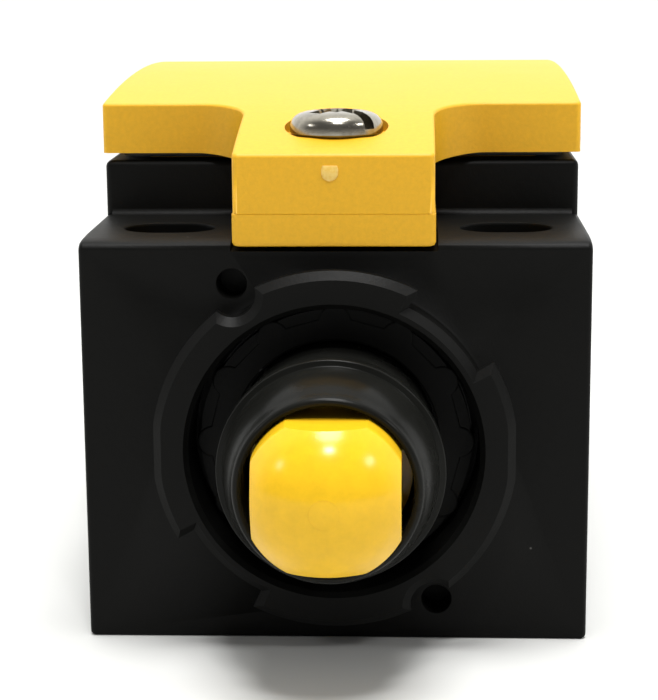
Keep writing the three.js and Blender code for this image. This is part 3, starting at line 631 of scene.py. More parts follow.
def pilot_tools(turn):
    """Cutters for a pilot hole with its lead-in, and for the notch in the collar that clears it."""
    hole = bore_tool(
        PILOT_R, FRONT, FRONT + PILOT_DEPTH, pilot_spot(turn, PILOT_CIRCLE), 0.12 * MM, steps=48)
    edge = sizes().collar_chamfer
    profile = [
        (0, COLLAR_FRONT - edge), (NOTCH_R + edge * 2, COLLAR_FRONT - edge),
        (NOTCH_R, COLLAR_FRONT + edge), (NOTCH_R, FRONT - SEAM), (0, FRONT - SEAM)]
    return [hole, solid(turned, profile, 48, pilot_spot(turn, NOTCH_CIRCLE))]


def slot_ring(x, z, grow):
    """Outline of a mounting slot at a height, grown sideways by an amount."""
    radius = sizes().slot_width / 2 + grow
    straight = (sizes().slot_length - sizes().slot_width) / 2
    ends = []
    for side, start in ((1, -90), (-1, 90)):
        for i in range(17):
            angle = math.radians(start + 180 * i / 16)
            ends.append(Vector((
                x + side * straight + radius * math.cos(angle), SLOT_Y + radius * math.sin(angle), z)))
    return ends


def loft(bm, rings):
    """Closed solid through rings that have the same number of points."""
    loops = []
    for ring in rings:
        verts = [bm.verts.new(point) for point in ring]
        loops.append([bm.edges.new((a, b)) for a, b in zip(verts, verts[1:] + verts[:1])])
    for lower, upper in zip(loops, loops[1:]):
        bmesh.ops.bridge_loops(bm, edges=lower + upper)
    bmesh.ops.edgeloop_fill(bm, edges=loops[0])
    bmesh.ops.edgeloop_fill(bm, edges=loops[-1])
    bmesh.ops.recalc_face_normals(bm, faces=bm.faces)


def slot_tool(side):
    """Cutter for one mounting slot, with its edges eased at both faces."""
    x = side * SLOT_SPACING / 2
    lip = 0.22 * MM
    heights = (-1 * MM, 0, lip, EAR_TOP - lip, EAR_TOP - lip * 0.3, EAR_TOP, EAR_TOP + MM)
    growths = (lip, lip, 0, 0, lip * 0.3, lip, lip)
    return solid(loft, [slot_ring(x, z, grow) for z, grow in zip(heights, growths)])


def bore_tool(radius, start, end, centre, lip=0.0, axis="Y", steps=64):
    """Round cutter from its mouth at start to end, flared by a lip at the mouth."""
    toward = 1 if end > start else -1
    profile = [
        (0, start - toward * MM), (radius + lip, start - toward * MM), (radius + lip, start),
        (radius + lip * 0.3, start + toward * lip * 0.3), (radius, start + toward * lip),
        (radius, end), (0, end)]
    if not lip:
        profile = [(0, start - toward * MM), (radius, start - toward * MM), (radius, end), (0, end)]
    return solid(turned, profile, steps, centre, axis)


def threaded_entry():
    """Cutter for the cable entry: core bore with the grooves of the thread and a lead-in."""
    mouth = ENTRY_CREST + 0.3 * MM
    profile = [(0, REAR + MM), (mouth, REAR + MM), (mouth, REAR - 0.3 * MM)]
    first = REAR - 0.75 * MM
    for i in range(sizes().entry_threads):
        middle = first - ENTRY_PITCH * (i + 0.5)
        profile += [
            (ENTRY_CORE, middle + 0.62 * MM), (ENTRY_CREST, middle + 0.12 * MM),
            (ENTRY_CREST, middle - 0.12 * MM), (ENTRY_CORE, middle - 0.62 * MM)]
    profile += [(ENTRY_CORE, CAVITY_REAR - MM), (0, CAVITY_REAR - MM)]
    return solid(turned, profile, 96)


def recess_tool():
    """Cutter for the collar's bore, the seal's seat, the guide's passage and the stem's bore."""
    lip = 0.3 * MM
    seal_seat = PASSAGE_R + 1.05 * MM
    profile = [
        (0, COLLAR_FRONT - MM), (COLLAR_BORE + lip, COLLAR_FRONT - MM),
        (COLLAR_BORE + lip, COLLAR_FRONT), (COLLAR_BORE, COLLAR_FRONT + lip),
        (COLLAR_BORE, RECESS_FLOOR), (seal_seat, RECESS_FLOOR),
        (seal_seat, RECESS_FLOOR + 0.9 * MM), (PASSAGE_R, RECESS_FLOOR + 0.9 * MM),
        (PASSAGE_R, SHOULDER), (STEM_BORE, SHOULDER), (STEM_BORE, CAVITY_FRONT + MM),
        (0, CAVITY_FRONT + MM)]
    return solid(turned, profile, 128)


def hinge_pocket_tools():
    """Cutters for the two notches that take the cover's lugs, and for their pins' holes."""
    tools = []
    reach = 2 * MM
    for side in (-1, 1):
        x = side * HINGE_SPREAD
        tools.append(solid(
            box, (x - reach, HINGE_AT.y - 1.3 * MM, HINGE_AT.z - 1.4 * MM),
            (x + reach, REAR + MM, WALL_TOP + MM), 0.25 * MM, 2))
        tools.append(bore_tool(
            1.05 * MM, x - 3 * MM, x + 3.05 * MM, (0, HINGE_AT.y, HINGE_AT.z), axis="X", steps=32))
    return tools


def tube(inner, outer, low, high, spot, steps):
    """Upright sleeve with its top edges eased."""
    ease = 0.12 * MM
    profile = [
        (inner, low), (inner, high - ease), (inner + ease, high), (outer - ease, high),
        (outer, high - ease), (outer, low)]
    return solid(turned, profile, steps, spot, "Z")


class SWITCH_OT_housing(bpy.types.Operator):
    """Build the moulded housing with its ears, collar, recess, cavity and cable entry"""

    bl_idname = "switch.housing"
    bl_label = "Housing"

    def execute(self, context):
        collar_at = (0, 0, AXIS_Z)
        housing = solid(housing_block)
        upper = solid(
            box, (-UPPER_HALF, UPPER_FRONT, EAR_TOP - MM), (UPPER_HALF, REAR - SEAM, WALL_TOP),
            0.4 * MM, 3)
        neck_front = COLLAR_FRONT + FLANGE_THICK - 0.3 * MM
        neck_r = NECK_R - SEAM
        neck = solid(
            turned, [(0, neck_front), (neck_r, neck_front), (neck_r, FRONT - 0.25 * MM),
                     (neck_r + 0.08 * MM, FRONT - 0.08 * MM), (neck_r + 0.25 * MM, FRONT + SEAM),
                     (neck_r, FRONT + 0.5 * MM), (0, FRONT + 0.5 * MM)], 128, collar_at)
        combine(housing, [upper, solid(ledge_fillet), neck, solid(bayonet_flange)], "UNION")

        cavity = solid(
            box, (-CAVITY_HALF, UPPER_FRONT + 2 * MM, CAVITY_FLOOR),
            (CAVITY_HALF, CAVITY_REAR, WALL_TOP + MM), 0.8 * MM, 4)
        under_ears = solid(
            box, (-CAVITY_HALF, CAVITY_FRONT, CAVITY_FLOOR), (CAVITY_HALF, 0, 22.6 * MM), 0.4 * MM, 2)
        seat = solid(
            box, (-TONGUE_SEAT_HALF, FRONT - MM, TONGUE_SEAT_Z),
            (TONGUE_SEAT_HALF, UPPER_FRONT, EAR_TOP + 2 * MM))
        entry_face = bore_tool(ENTRY_FACE_R, REAR, REAR - 0.4 * MM, collar_at, 0.1 * MM, steps=96)
        combine(
            housing, [cavity, under_ears, seat, recess_tool(), threaded_entry(), entry_face,
                      slot_tool(-1), slot_tool(1), *pilot_tools(0), *pilot_tools(180),
                      *hinge_pocket_tools()], "DIFFERENCE")

        boss_hole = bore_tool(
            BOSS_BORE, BOSS_TOP + 0.8 * MM, INSERT_FLOOR - 0.1 * MM, SCREW_AT, axis="Z", steps=64)
        combine(housing, [boss_hole], "DIFFERENCE")
        sleeves = [tube(BOSS_BORE, BOSS_R, INSERT_FLOOR, BOSS_TOP, SCREW_AT, 64)]
        for side in (-1, 1):
            spot = Vector((side * CONTACT_SPREAD, POST_Y, 0))
            sleeves.append(tube(POST_BORE, POST_R, POST_FOOT, POST_TOP, spot, 40))
        combine(housing, sleeves, "UNION")
        finish_piece(
            housing, "housing_shell", "housing", paint("housing"), ["housing"])
        return {"FINISHED"}


# ------------------------------------------------------------------ cover

TONGUE_HALF = 6.05 * MM
TONGUE_FRONT = COVER_LOW.y
TONGUE_BOTTOM = 24.75 * MM
TONGUE_FILLET = 3.35 * MM
TONGUE_CORNER = 0.25 * MM
TONGUE_ROOT = UPPER_FRONT - 3.7 * MM
WIDE_FRONT = UPPER_FRONT - 0.1 * MM
PARTING_Z = 26.7 * MM
SKIRT_STEP = 0.06 * MM
PARTING_GROOVE = 0.04 * MM
GATE_Z = 29.2 * MM
GATE_HALF = 0.52 * MM
GATE_PROUD = 0.02 * MM
GASKET_LOW = 28.85 * MM
GASKET_HIGH = 29.95 * MM
DROOP_START = UPPER_FRONT - 1.3 * MM
DROOP = 0.42 * MM
WEB_DROP = 0.42 * MM
WEB_SPAN = 3.2 * MM
COVER_WALL = 2 * MM
TOP = CAD_HIGH.z
SCREW_SEAT_Z = 30.95 * MM
SCREW_SEAT_R = 3.2 * MM


def crown(y, depth=0.0):
    """Height of the cover's top at a place along the body: a crown whose tongue droops a little."""
    radius = CROWN_RADIUS - depth
    height = TOP - CROWN_RADIUS + math.sqrt(radius ** 2 - (y - CROWN_CENTRE) ** 2)
    reach = max(0, (DROOP_START - y) / (DROOP_START - TONGUE_FRONT))
    return height - DROOP * reach ** 1.5


def bend_top(bm, above, depth=0.0):
    """Lowers everything above a level so that a flat top becomes the crown."""
    for vert in bm.verts:
        if vert.co.z > above:
            vert.co.z += crown(vert.co.y, depth) - (TOP - depth)


def cut_across(bm, y):
    """Line of new vertices all round the shape at one place along the body."""
    bmesh.ops.bisect_plane(
        bm, geom=bm.verts[:] + bm.edges[:] + bm.faces[:], dist=1e-8,
        plane_co=(0, y, 0), plane_no=(0, 1, 0))


def slice_along(bm, low, high, step):
    """Cuts that let a long face follow the crown."""
    for i in range(math.ceil((high - low) / step)):
        cut_across(bm, low + step * (i + 0.5))


def cover_outline(bm):
    """Flat T-shaped face at the lid's underside, with its corners rounded."""
    half = COVER_HIGH.x
    rear = COVER_HIGH.y
    corners = [
        (-half, rear), (-half, WIDE_FRONT), (-TONGUE_HALF, WIDE_FRONT),
        (-TONGUE_HALF, TONGUE_FRONT), (TONGUE_HALF, TONGUE_FRONT), (TONGUE_HALF, WIDE_FRONT),
        (half, WIDE_FRONT), (half, rear)]
    verts = [bm.verts.new((x, y, COVER_BOTTOM)) for x, y in corners]
    bm.faces.new(verts)
    inner = [verts[2], verts[5]]
    round_corners(bm, [v for v in verts if v not in inner], 0.35 * MM, 4)
    inner = [
        v for v in bm.verts
        if abs(abs(v.co.x) - TONGUE_HALF) < NEAR and abs(v.co.y - WIDE_FRONT) < NEAR]
    round_corners(bm, inner, TONGUE_FILLET, 14)


def cover_blank(bm):
    """T-shaped lid with a rounded, crowned top, and its tongue drawn down past the parting line."""
    cover_outline(bm)
    top = push(bm, bm.faces[:][0], (0, 0, TOP - COVER_BOTTOM))
    round_edges(bm, top.edges, sizes().cover_edge, 4)
    for vert in bm.verts:
        aside = (abs(vert.co.x) - TONGUE_HALF) / WEB_SPAN
        below = vert.co.z < COVER_BOTTOM + NEAR
        if below and vert.co.y < WIDE_FRONT + NEAR and -1e-4 < aside < 1:
            vert.co.z -= WEB_DROP * (1 - aside) ** 1.5
    cut_across(bm, TONGUE_ROOT)
    bmesh.ops.recalc_face_normals(bm, faces=bm.faces)
    under = next(
        f for f in bm.faces
        if f.normal.z < -0.7 and max(v.co.y for v in f.verts) < TONGUE_ROOT + NEAR)
    lip = PARTING_GROOVE * 0.6
    corner = TONGUE_CORNER
    levels = (
        (PARTING_Z + PARTING_GROOVE, 0, 0),
        (PARTING_Z, SKIRT_STEP, -PARTING_GROOVE),
        (PARTING_Z - lip, 0, lip),
        (TONGUE_BOTTOM + corner, 0, 0),
        (TONGUE_BOTTOM + corner * 0.3, -corner * 0.3, -corner * 0.1),
        (TONGUE_BOTTOM, -corner * 0.7, -corner * 0.3))
    for level, aside, ahead in levels:
        under = push(bm, under, (0, 0, 0))
        for vert in under.verts:
            vert.co.z = level
            vert.co.x += aside * math.copysign(1, vert.co.x)
            if vert.co.y < TONGUE_ROOT - MERGE:
                vert.co.y -= ahead
    bmesh.ops.recalc_face_normals(bm, faces=bm.faces)
    slice_along(bm, TONGUE_FRONT, COVER_HIGH.y, 2 * MM)
    bend_top(bm, COVER_BOTTOM + 0.5 * MM)


def gasket_corners(inset):
    """Plan corners of the gasket's outer edge, drawn in by an inset."""
    half = CAVITY_HALF + 1.5 * MM - inset
    front = UPPER_FRONT + 0.45 * MM + inset
    rear = REAR - 2.8 * MM - inset
    return [(-half, front), (half, front), (half, rear), (-half, rear)]


def gasket_band(low, high, spread):
    """Solid of the gasket's band, as an outer block less an inner one."""
    parts = []
    for inset, grow in ((-spread, 0.0), (1.3 * MM + spread, MM)):
        bm = bmesh.new()
        bm.faces.new([bm.verts.new((x, y, low - grow)) for x, y in gasket_corners(inset)])
        round_corners(bm, bm.verts[:], 1.6 * MM - inset, 8)
        push(bm, bm.faces[:][0], (0, 0, high - low + 2 * grow))
        parts.append(as_object(bm, "band"))
    combine(parts[0], [parts[1]], "DIFFERENCE")
    return parts[0]


def hollow_tool(low, high, depth, floor):
    """Cutter under the crown, between two plan corners."""
    bm = bmesh.new()
    box(bm, (*low, floor), (*high, TOP - depth), 0.5 * MM, 3)
    slice_along(bm, low[1], high[1], 3 * MM)
    bend_top(bm, COVER_BOTTOM - 0.1 * MM, depth)
    return as_object(bm, "hollow")


def hinge_lugs():
    """Two lugs that hang from the lid's rear edge, each round a short pin."""
    lugs = []
    half = 1.65 * MM
    pin_r = 0.8 * MM
    end = 2.75 * MM
    ease = 0.15 * MM
    root = COVER_BOTTOM + 0.6 * MM
    for side in (-1, 1):
        x = side * HINGE_SPREAD
        rounding = arc((HINGE_AT.y, HINGE_AT.z), 0.9 * MM, 180, 360, 16)
        outline = [(rounding[0][0], root), *rounding, (rounding[-1][0], root)]
        lugs.append(solid(prism, [(x - half, y, z) for y, z in outline], (2 * half, 0, 0)))
        pin = [
            (0, x - end), (pin_r - ease, x - end), (pin_r, x - end + ease),
            (pin_r, x + end - ease), (pin_r - ease, x + end), (0, x + end)]
        lugs.append(solid(turned, pin, 32, (0, HINGE_AT.y, HINGE_AT.z), "X"))
    return lugs


def gate_scar(bm):
    """Shield-shaped stub left where the moulding gate broke off the tongue's face."""
    middle = Vector((-0.2 * MM, TONGUE_FRONT + 0.05 * MM, GATE_Z))
    half = GATE_HALF
    points = [middle + Vector((-half * 0.85, 0, half * 0.8)), middle + Vector((-half, 0, half * 0.3))]
    points += circle_points(half, 11, middle, math.pi, math.pi)[1:-1]
    points += [middle + Vector((half, 0, half * 0.3)), middle + Vector((half * 0.85, 0, half * 0.8))]
    prism(bm, points, (0, -0.13 * MM, 0), 0.05 * MM, 2)
    bmesh.ops.subdivide_edges(bm, edges=bm.edges[:], cuts=2, use_grid_fill=True)
    for vert in bm.verts:
        if vert.co.y < TONGUE_FRONT - GATE_PROUD:
            vert.co.y += 0.035 * MM * math.sin(vert.co.x * 9100 + 1) * math.sin(vert.co.z * 7300)


def lid_ribs(rim, front):
    """Locating skirt and cross ribs under the lid."""
    rear = REAR - 6.5 * MM
    root = COVER_BOTTOM + 0.4 * MM
    outer = solid(box, (-rim, front, 27.9 * MM), (rim, rear, root))
    inner = solid(
        box, (-rim + 0.8 * MM, front + 0.8 * MM, 27 * MM),
        (rim - 0.8 * MM, rear + 1.5 * MM, root + 0.6 * MM), 0.3 * MM, 2, is_upright)
    combine(outer, [inner], "DIFFERENCE")
    ribs = [
        solid(box, (-rim - 0.2 * MM, y, 29.6 * MM), (rim + 0.2 * MM, y + 1.1 * MM, 31.2 * MM))
        for y in (-6 * MM, 8 * MM, 20 * MM)]
    foot = COVER_BOTTOM + 0.01 * MM
    ribs.append(solid(
        box, (-rim - 0.4 * MM, front - 0.4 * MM, foot), (rim + 0.4 * MM, front + 0.8 * MM, root)))
    for side in (-1, 1):
        across = sorted((side * (rim - 0.8 * MM), side * (rim + 0.4 * MM)))
        ribs.append(solid(box, (across[0], front, foot), (across[1], rear, root)))
    return [outer, *ribs]


class SWITCH_OT_cover(bpy.types.Operator):
    """Build the crowned cover with its tongue, skirt, gasket groove and hinge lugs"""

    bl_idname = "switch.cover"
    bl_label = "Cover"

    def execute(self, context):
        cover = solid(cover_blank)
        tongue_back = solid(
            box, (-TONGUE_HALF + 0.05 * MM, TONGUE_ROOT - 0.1 * MM, TONGUE_BOTTOM + 0.02 * MM),
            (TONGUE_HALF - 0.05 * MM, WIDE_FRONT - 0.4 * MM, COVER_BOTTOM + 0.35 * MM))
        combine(cover, [tongue_back, *hinge_lugs()], "UNION")

        rim = CAVITY_HALF - 0.3 * MM
        hollow_front = UPPER_FRONT + 2.5 * MM
        wall = 1.7 * MM
        tools = [
            hollow_tool(
                (-rim, hollow_front), (rim, CAVITY_REAR - 0.4 * MM), COVER_WALL, COVER_BOTTOM - 2 * MM),
            hollow_tool(
                (-TONGUE_HALF + wall, TONGUE_FRONT + wall), (TONGUE_HALF - wall, UPPER_FRONT - 1.1 * MM),
                COVER_WALL, TONGUE_BOTTOM - 2 * MM),
            gasket_band(COVER_BOTTOM - MM, GASKET_HIGH + 0.1 * MM, 0.1 * MM),
            bore_tool(1.75 * MM, 31 * MM, 27 * MM, SCREW_AT, axis="Z", steps=48),
            solid(turned, [
                (0, SCREW_SEAT_Z), (SCREW_SEAT_R - 0.05 * MM, SCREW_SEAT_Z),
                (SCREW_SEAT_R, SCREW_SEAT_Z + 0.05 * MM), (SCREW_SEAT_R + 0.06 * MM, TOP), (0, TOP)],
                96, SCREW_AT, "Z")]
        combine(cover, tools, "DIFFERENCE")
        combine(cover, lid_ribs(rim, hollow_front), "UNION")
        add_shell(cover, solid(gate_scar))
        finish_piece(cover, "cover_lid", "cover", paint("cover"), ["cover"])

        gasket = gasket_band(GASKET_LOW, GASKET_HIGH, 0.0)
        soften(gasket, 0.25 * MM, 3)
        finish_piece(gasket, "cover_gasket_loop", "cover", paint("rubber"), ["cover_gasket"])
        return {"FINISHED"}


# ------------------------------------------------------------------ cover screw

PAN_HEAD = (
    (0, 0), (1.4, 0.05), (1.95, 0.12), (2.3, 0.23), (2.55, 0.38), (2.73, 0.56), (2.84, 0.78),
    (2.88, 1.0))
HEAD_SUNK = 0.17 * MM
SCREW_NECK = 1.2 * MM
SCREW_CREST = 1.5 * MM
SCREW_PITCH = 0.5 * MM


def thread_profile(core, crest, start, end, pitch):
    """Zigzag of a thread between two heights, going down."""
    points = []
    height = start
    while height - pitch > end:
        points += [(core, height), (crest, height - pitch * 0.4), (crest, height - pitch * 0.6)]
        height -= pitch
    return points + [(core, height)]


def cross_arm(bm, spot, turn, reach, half, top, depth):
    """One tapered arm of a cross recess."""
    deep = reach * 0.3
    corners = [(-reach, top), (reach, top), (deep, top - depth), (-deep, top - depth)]
    spin = Matrix.Rotation(turn, 4, "Z")
    face = bm.faces.new([bm.verts.new(spot + spin @ Vector((x, -half, z))) for x, z in corners])
    push(bm, face, spin @ Vector((0, 2 * half, 0)))


class SWITCH_OT_cover_screw(bpy.types.Operator):
    """Build the captive cover screw, its washer and the threaded insert"""

    bl_idname = "switch.cover_screw"
    bl_label = "Cover screw"

    def execute(self, context):
        low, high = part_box("cover_screw")
        seat = SCREW_SEAT_Z + 0.05 * MM
        top = high.z - HEAD_SUNK
        profile = [(radius * MM, top - drop * MM) for radius, drop in PAN_HEAD]
        rim = profile[-1][0]
        profile += [
            (rim, seat + 0.12 * MM), (rim - 0.12 * MM, seat), (SCREW_NECK, seat),
            (SCREW_NECK, 27.7 * MM)]
        profile += thread_profile(SCREW_NECK, SCREW_CREST, 27.4 * MM, low.z + 0.5 * MM, SCREW_PITCH)
        profile += [(1.05 * MM, low.z + 0.2 * MM), (0.9 * MM, low.z), (0, low.z)]
        screw = solid(turned, profile, 96, SCREW_AT, "Z")
        turn = sizes().slot_turn
        half = 0.4 * MM
        slot = solid(box, (-rim * 1.2, -half, top - 1.05 * MM), (rim * 1.2, half, top + MM))
        slot.data.transform(Matrix.Translation(SCREW_AT) @ Matrix.Rotation(turn, 4, "Z"))
        cross = [
            solid(cross_arm, SCREW_AT, turn + quarter, 2.25 * MM, 0.5 * MM, top + 0.2 * MM, 1.4 * MM)
            for quarter in (0, math.pi / 2)]
        cross.append(solid(
            turned, [(0, top - 1.3 * MM), (0.5 * MM, top - 1.2 * MM), (1.62 * MM, top + 0.1 * MM),
                     (0, top + 0.1 * MM)], 4, SCREW_AT, "Z"))
        combine(screw, [slot, *cross], "DIFFERENCE")
        soften(screw, 0.06 * MM, 2, 40)
        finish_piece(
            screw, "cover_screw_turned", "cover", paint("nickel"), ["cover_screw"])

        low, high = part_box("cover_screw_washer")
        washer = tube(1.3 * MM, 2.6 * MM, low.z, high.z, SCREW_AT, 64)
        finish_piece(
            washer, "cover_screw_keeper", "cover", paint("rubber"), ["cover_screw_washer"])

        low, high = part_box("cover_screw_insert")
        middle = (low.z + high.z) / 2
        bore = 1.9 * MM
        waist = 2 * MM
        outer = 2.3 * MM
        ease = 0.1 * MM
        insert = solid(
            turned, [(bore, low.z), (outer - ease, low.z), (outer, low.z + ease),
                     (outer, middle - 0.5 * MM), (waist, middle - 0.35 * MM),
                     (waist, middle + 0.35 * MM), (outer, middle + 0.5 * MM), (outer, high.z - ease),
                     (outer - ease, high.z), (waist, high.z), (bore, high.z - ease)],
            64, SCREW_AT, "Z")
        finish_piece(
            insert, "cover_screw_bush", "housing", paint("brass"), ["cover_screw_insert"])
        return {"FINISHED"}


# ------------------------------------------------------------------ plunger and guide

PLUNGER_R = 4.75 * MM
FLATS_HALF = 4.15 * MM
PLUNGER_TIP = PLUNGER_LOW.y
DOME_EDGE = FRONT - 12.9 * MM
FLAT_REAR = FRONT - 6.5 * MM
HEAD_REAR = FRONT - 2.5 * MM
GUIDE_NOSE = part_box("plunger_guide")[0].y
GUIDE_RIM_Y = FRONT - 6.8 * MM
GUIDE_RIM_R = 6.7 * MM
GUIDE_BORE = 4.95 * MM
GUIDE_LIP_R = 5.42 * MM
GUIDE_LIP = ((0, 0.26), (0.1, 0.09), (0.2, 0.015), (0.3, 0), (0.4, 0.04), (0.5, 0.14), (0.56, 0.34))
GUIDE_TUBE_R = 6.2 * MM
GUIDE_FLANGE_R = 8.4 * MM


def dome(edge_radius, edge, tip, steps):
    """Profile from the tip out to the edge of a shallow ball."""
    rise = edge - tip
    radius = (edge_radius ** 2 + rise ** 2) / (2 * rise)
    sweep = math.asin(edge_radius / radius)
    turns = [sweep * i / steps for i in range(steps + 1)]
    return [(radius * math.sin(a), tip + radius * (1 - math.cos(a))) for a in turns]


def plunger_profile(rear):
    """Half section of the plunger from its tip to the end of its stem."""
    groove = FLAT_REAR + 0.8 * MM
    groove_r = PLUNGER_R - 1.05 * MM
    stem = 2.2 * MM
    neck = stem - 0.5 * MM
    profile = dome(PLUNGER_R - 0.45 * MM, DOME_EDGE - 0.3 * MM, PLUNGER_TIP, 18)
    profile += [
        (PLUNGER_R - 0.2 * MM, DOME_EDGE + 0.05 * MM), (PLUNGER_R - 0.06 * MM, DOME_EDGE + 0.28 * MM)]
    profile += [(PLUNGER_R, DOME_EDGE + 0.6 * MM), (PLUNGER_R, groove), (groove_r, groove)]
    profile += [(groove_r, groove + 1.6 * MM), (PLUNGER_R, groove + 1.6 * MM)]
    profile += [(PLUNGER_R, HEAD_REAR - 0.2 * MM), (PLUNGER_R - 0.2 * MM, HEAD_REAR), (stem, HEAD_REAR)]
    profile += [(stem, CAVITY_FRONT), (neck, CAVITY_FRONT), (neck, CAVITY_FRONT + 0.6 * MM)]
    profile += [(stem, CAVITY_FRONT + 0.6 * MM), (stem, rear - 0.1 * MM)]
    return profile + [(stem - 0.1 * MM, rear), (0, rear)]


class SWITCH_OT_plunger(bpy.types.Operator):
    """Build the domed plunger with its flats, its seal and the clip on its stem"""

    bl_idname = "switch.plunger"
    bl_label = "Plunger"

    def execute(self, context):
        plunger = solid(turned, plunger_profile(PLUNGER_HIGH.y), 128)
        flats = []
        for quarter in range(4):
            tool = solid(box, (FLATS_HALF, PLUNGER_TIP - MM, -8 * MM), (9 * MM, FLAT_REAR, 8 * MM))
            turn = Matrix.Rotation(math.pi / 2 * quarter, 4, "Y")
            tool.data.transform(Matrix.Translation((0, 0, AXIS_Z)) @ turn)
            flats.append(tool)
        ring_r = 0.8 * MM
        ring_out = ring_r + 0.05 * MM
        ring_floor = PLUNGER_TIP + 0.074 * MM
        gate = solid(
            turned, [(ring_r, PLUNGER_TIP - MM), (ring_out, PLUNGER_TIP - MM),
                     (ring_out, ring_floor), (ring_r, ring_floor)], 48)
        combine(plunger, [*flats, gate], "DIFFERENCE")
        soften(plunger, 0.16 * MM, 3, 20)
        finish_piece(
            plunger, "plunger_button", "plunger", paint("plunger"), ["plunger"], 30)

        for node, section, body in (
                ("plunger_seal", 0.52 * MM, "plunger"), ("guide_seal", 0.4 * MM, "housing")):
            low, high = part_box(node)
            radius = (high.x - low.x) / 2 - section
            middle = (low.y + high.y) / 2
            seal = solid(turned, arc((radius, middle), section, 0, 345, 23), 96)
            finish_piece(seal, node + "_ring", body, paint("rubber"), [node])

        clip = cad_copy("stem_clip")
        soften(clip, 0.06 * MM)
        finish_piece(clip, "stem_clip_ring", "plunger", paint("zinc"), ["stem_clip"])
        return {"FINISHED"}


def guide_profile():
    """Half section of the guide: flange, tube, rim and the rounded cone up to its lip."""
    flange_rear = RECESS_FLOOR - 0.1 * MM
    flange_front = flange_rear - 0.9 * MM
    nest = GUIDE_TUBE_R - 0.1 * MM
    rim = GUIDE_RIM_Y
    profile = [(GUIDE_BORE, flange_rear + 1.6 * MM), (nest, flange_rear + 1.6 * MM), (nest, flange_rear)]
    profile += [(GUIDE_FLANGE_R, flange_rear), (GUIDE_FLANGE_R, flange_front), (GUIDE_TUBE_R, flange_front)]
    profile += [(GUIDE_TUBE_R, rim + 1.25 * MM), (GUIDE_TUBE_R + 0.1 * MM, rim + 1.1 * MM)]
    profile += [(GUIDE_RIM_R - 0.1 * MM, rim + 1.05 * MM), (GUIDE_RIM_R, rim + 0.95 * MM)]
    profile += [(GUIDE_RIM_R, rim + 0.1 * MM), (GUIDE_RIM_R - 0.04 * MM, rim + 0.03 * MM)]
    profile += [(GUIDE_RIM_R - 0.1 * MM, rim), (GUIDE_RIM_R - 0.34 * MM, rim)]
    profile += [(GUIDE_RIM_R - 0.38 * MM, rim - 0.04 * MM), (GUIDE_RIM_R - 0.4 * MM, rim - 0.12 * MM)]
    crest = Vector((5.2 * MM, GUIDE_NOSE))
    foot = Vector((GUIDE_RIM_R - 0.44 * MM, rim - 0.3 * MM))
    for i in range(1, 11):
        share = i / 12
        bulge = math.sin(math.pi * share) * 0.24 * MM
        point = foot.lerp(crest, share)
        profile.append((point.x + bulge, point.y - bulge * 0.3))
    profile += [(GUIDE_LIP_R - inward * MM, GUIDE_NOSE + depth * MM) for inward, depth in GUIDE_LIP]
    profile.append((GUIDE_BORE, GUIDE_NOSE + 1.4 * MM))
    return profile


def lobed_ring(bm):
    """Ring that holds the guide, with scallops round its rim."""
    front = RECESS_FLOOR - 2.1 * MM
    rear = RECESS_FLOOR - 1.1 * MM
    count = sizes().ring_lobes
    spread = 7.55 * MM
    half_sweep = 1.45
    outline = []
    for i in range(count):
        angle = 2 * math.pi * i / count
        middle = Vector((spread * math.cos(angle), rear, AXIS_Z + spread * math.sin(angle)))
        outline += circle_points(MM, 13, middle, angle - half_sweep, 2 * half_sweep)
    prism(bm, outline, (0, front - rear, 0), 0.15 * MM, 2)


class SWITCH_OT_guide(bpy.types.Operator):
    """Build the plunger guide, the lobed ring that holds it and the spring's seat"""

    bl_idname = "switch.guide"
    bl_label = "Plunger guide"

    def execute(self, context):
        guide = solid(turned, guide_profile(), 144)
        finish_piece(
            guide, "plunger_guide_bush", "housing", paint("guide"), ["plunger_guide"], 50)

        ring = solid(lobed_ring)
        web_r = 8.3 * MM
        web_front = RECESS_FLOOR - 2 * MM
        web_rear = RECESS_FLOOR - 1.15 * MM
        web = solid(turned, [(0, web_front), (web_r, web_front), (web_r, web_rear), (0, web_rear)], 96)
        combine(ring, [web], "UNION")
        bore = bore_tool(
            6.35 * MM, RECESS_FLOOR - 2.1 * MM, RECESS_FLOOR, (0, 0, AXIS_Z), 0.12 * MM, steps=96)
        combine(ring, [bore], "DIFFERENCE")
        finish_piece(
            ring, "guide_ring_lobed", "housing", paint("housing"), ["guide_ring"])

        low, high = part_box("spring_seat")
        outer = (high.x - low.x) / 2
        inner = 2.35 * MM
        ease = 0.1 * MM
        seat = solid(
            turned, [(inner, low.y), (outer - ease, low.y), (outer, low.y + ease),
                     (outer, high.y - ease), (outer - ease, high.y), (inner, high.y)], 64)
        finish_piece(seat, "spring_seat_washer", "housing", paint("zinc"), ["spring_seat"])
        return {"FINISHED"}


# ------------------------------------------------------------------ springs

SPRING_TURNS = 5
WIRE_SIDES = 12
STEPS_PER_TURN = 32

# node, body, wire, the joint that presses it and the end that stays still
SPRINGS = (
    ("return_spring", "housing", 0.55 * MM, "plunger_travel", "rear"),
    ("nc_contact_spring", "contact_carrier", 0.35 * MM, None, None),
    ("no_contact_spring", "contact_carrier", 0.35 * MM, "no_bridge_lag", "front"),
)


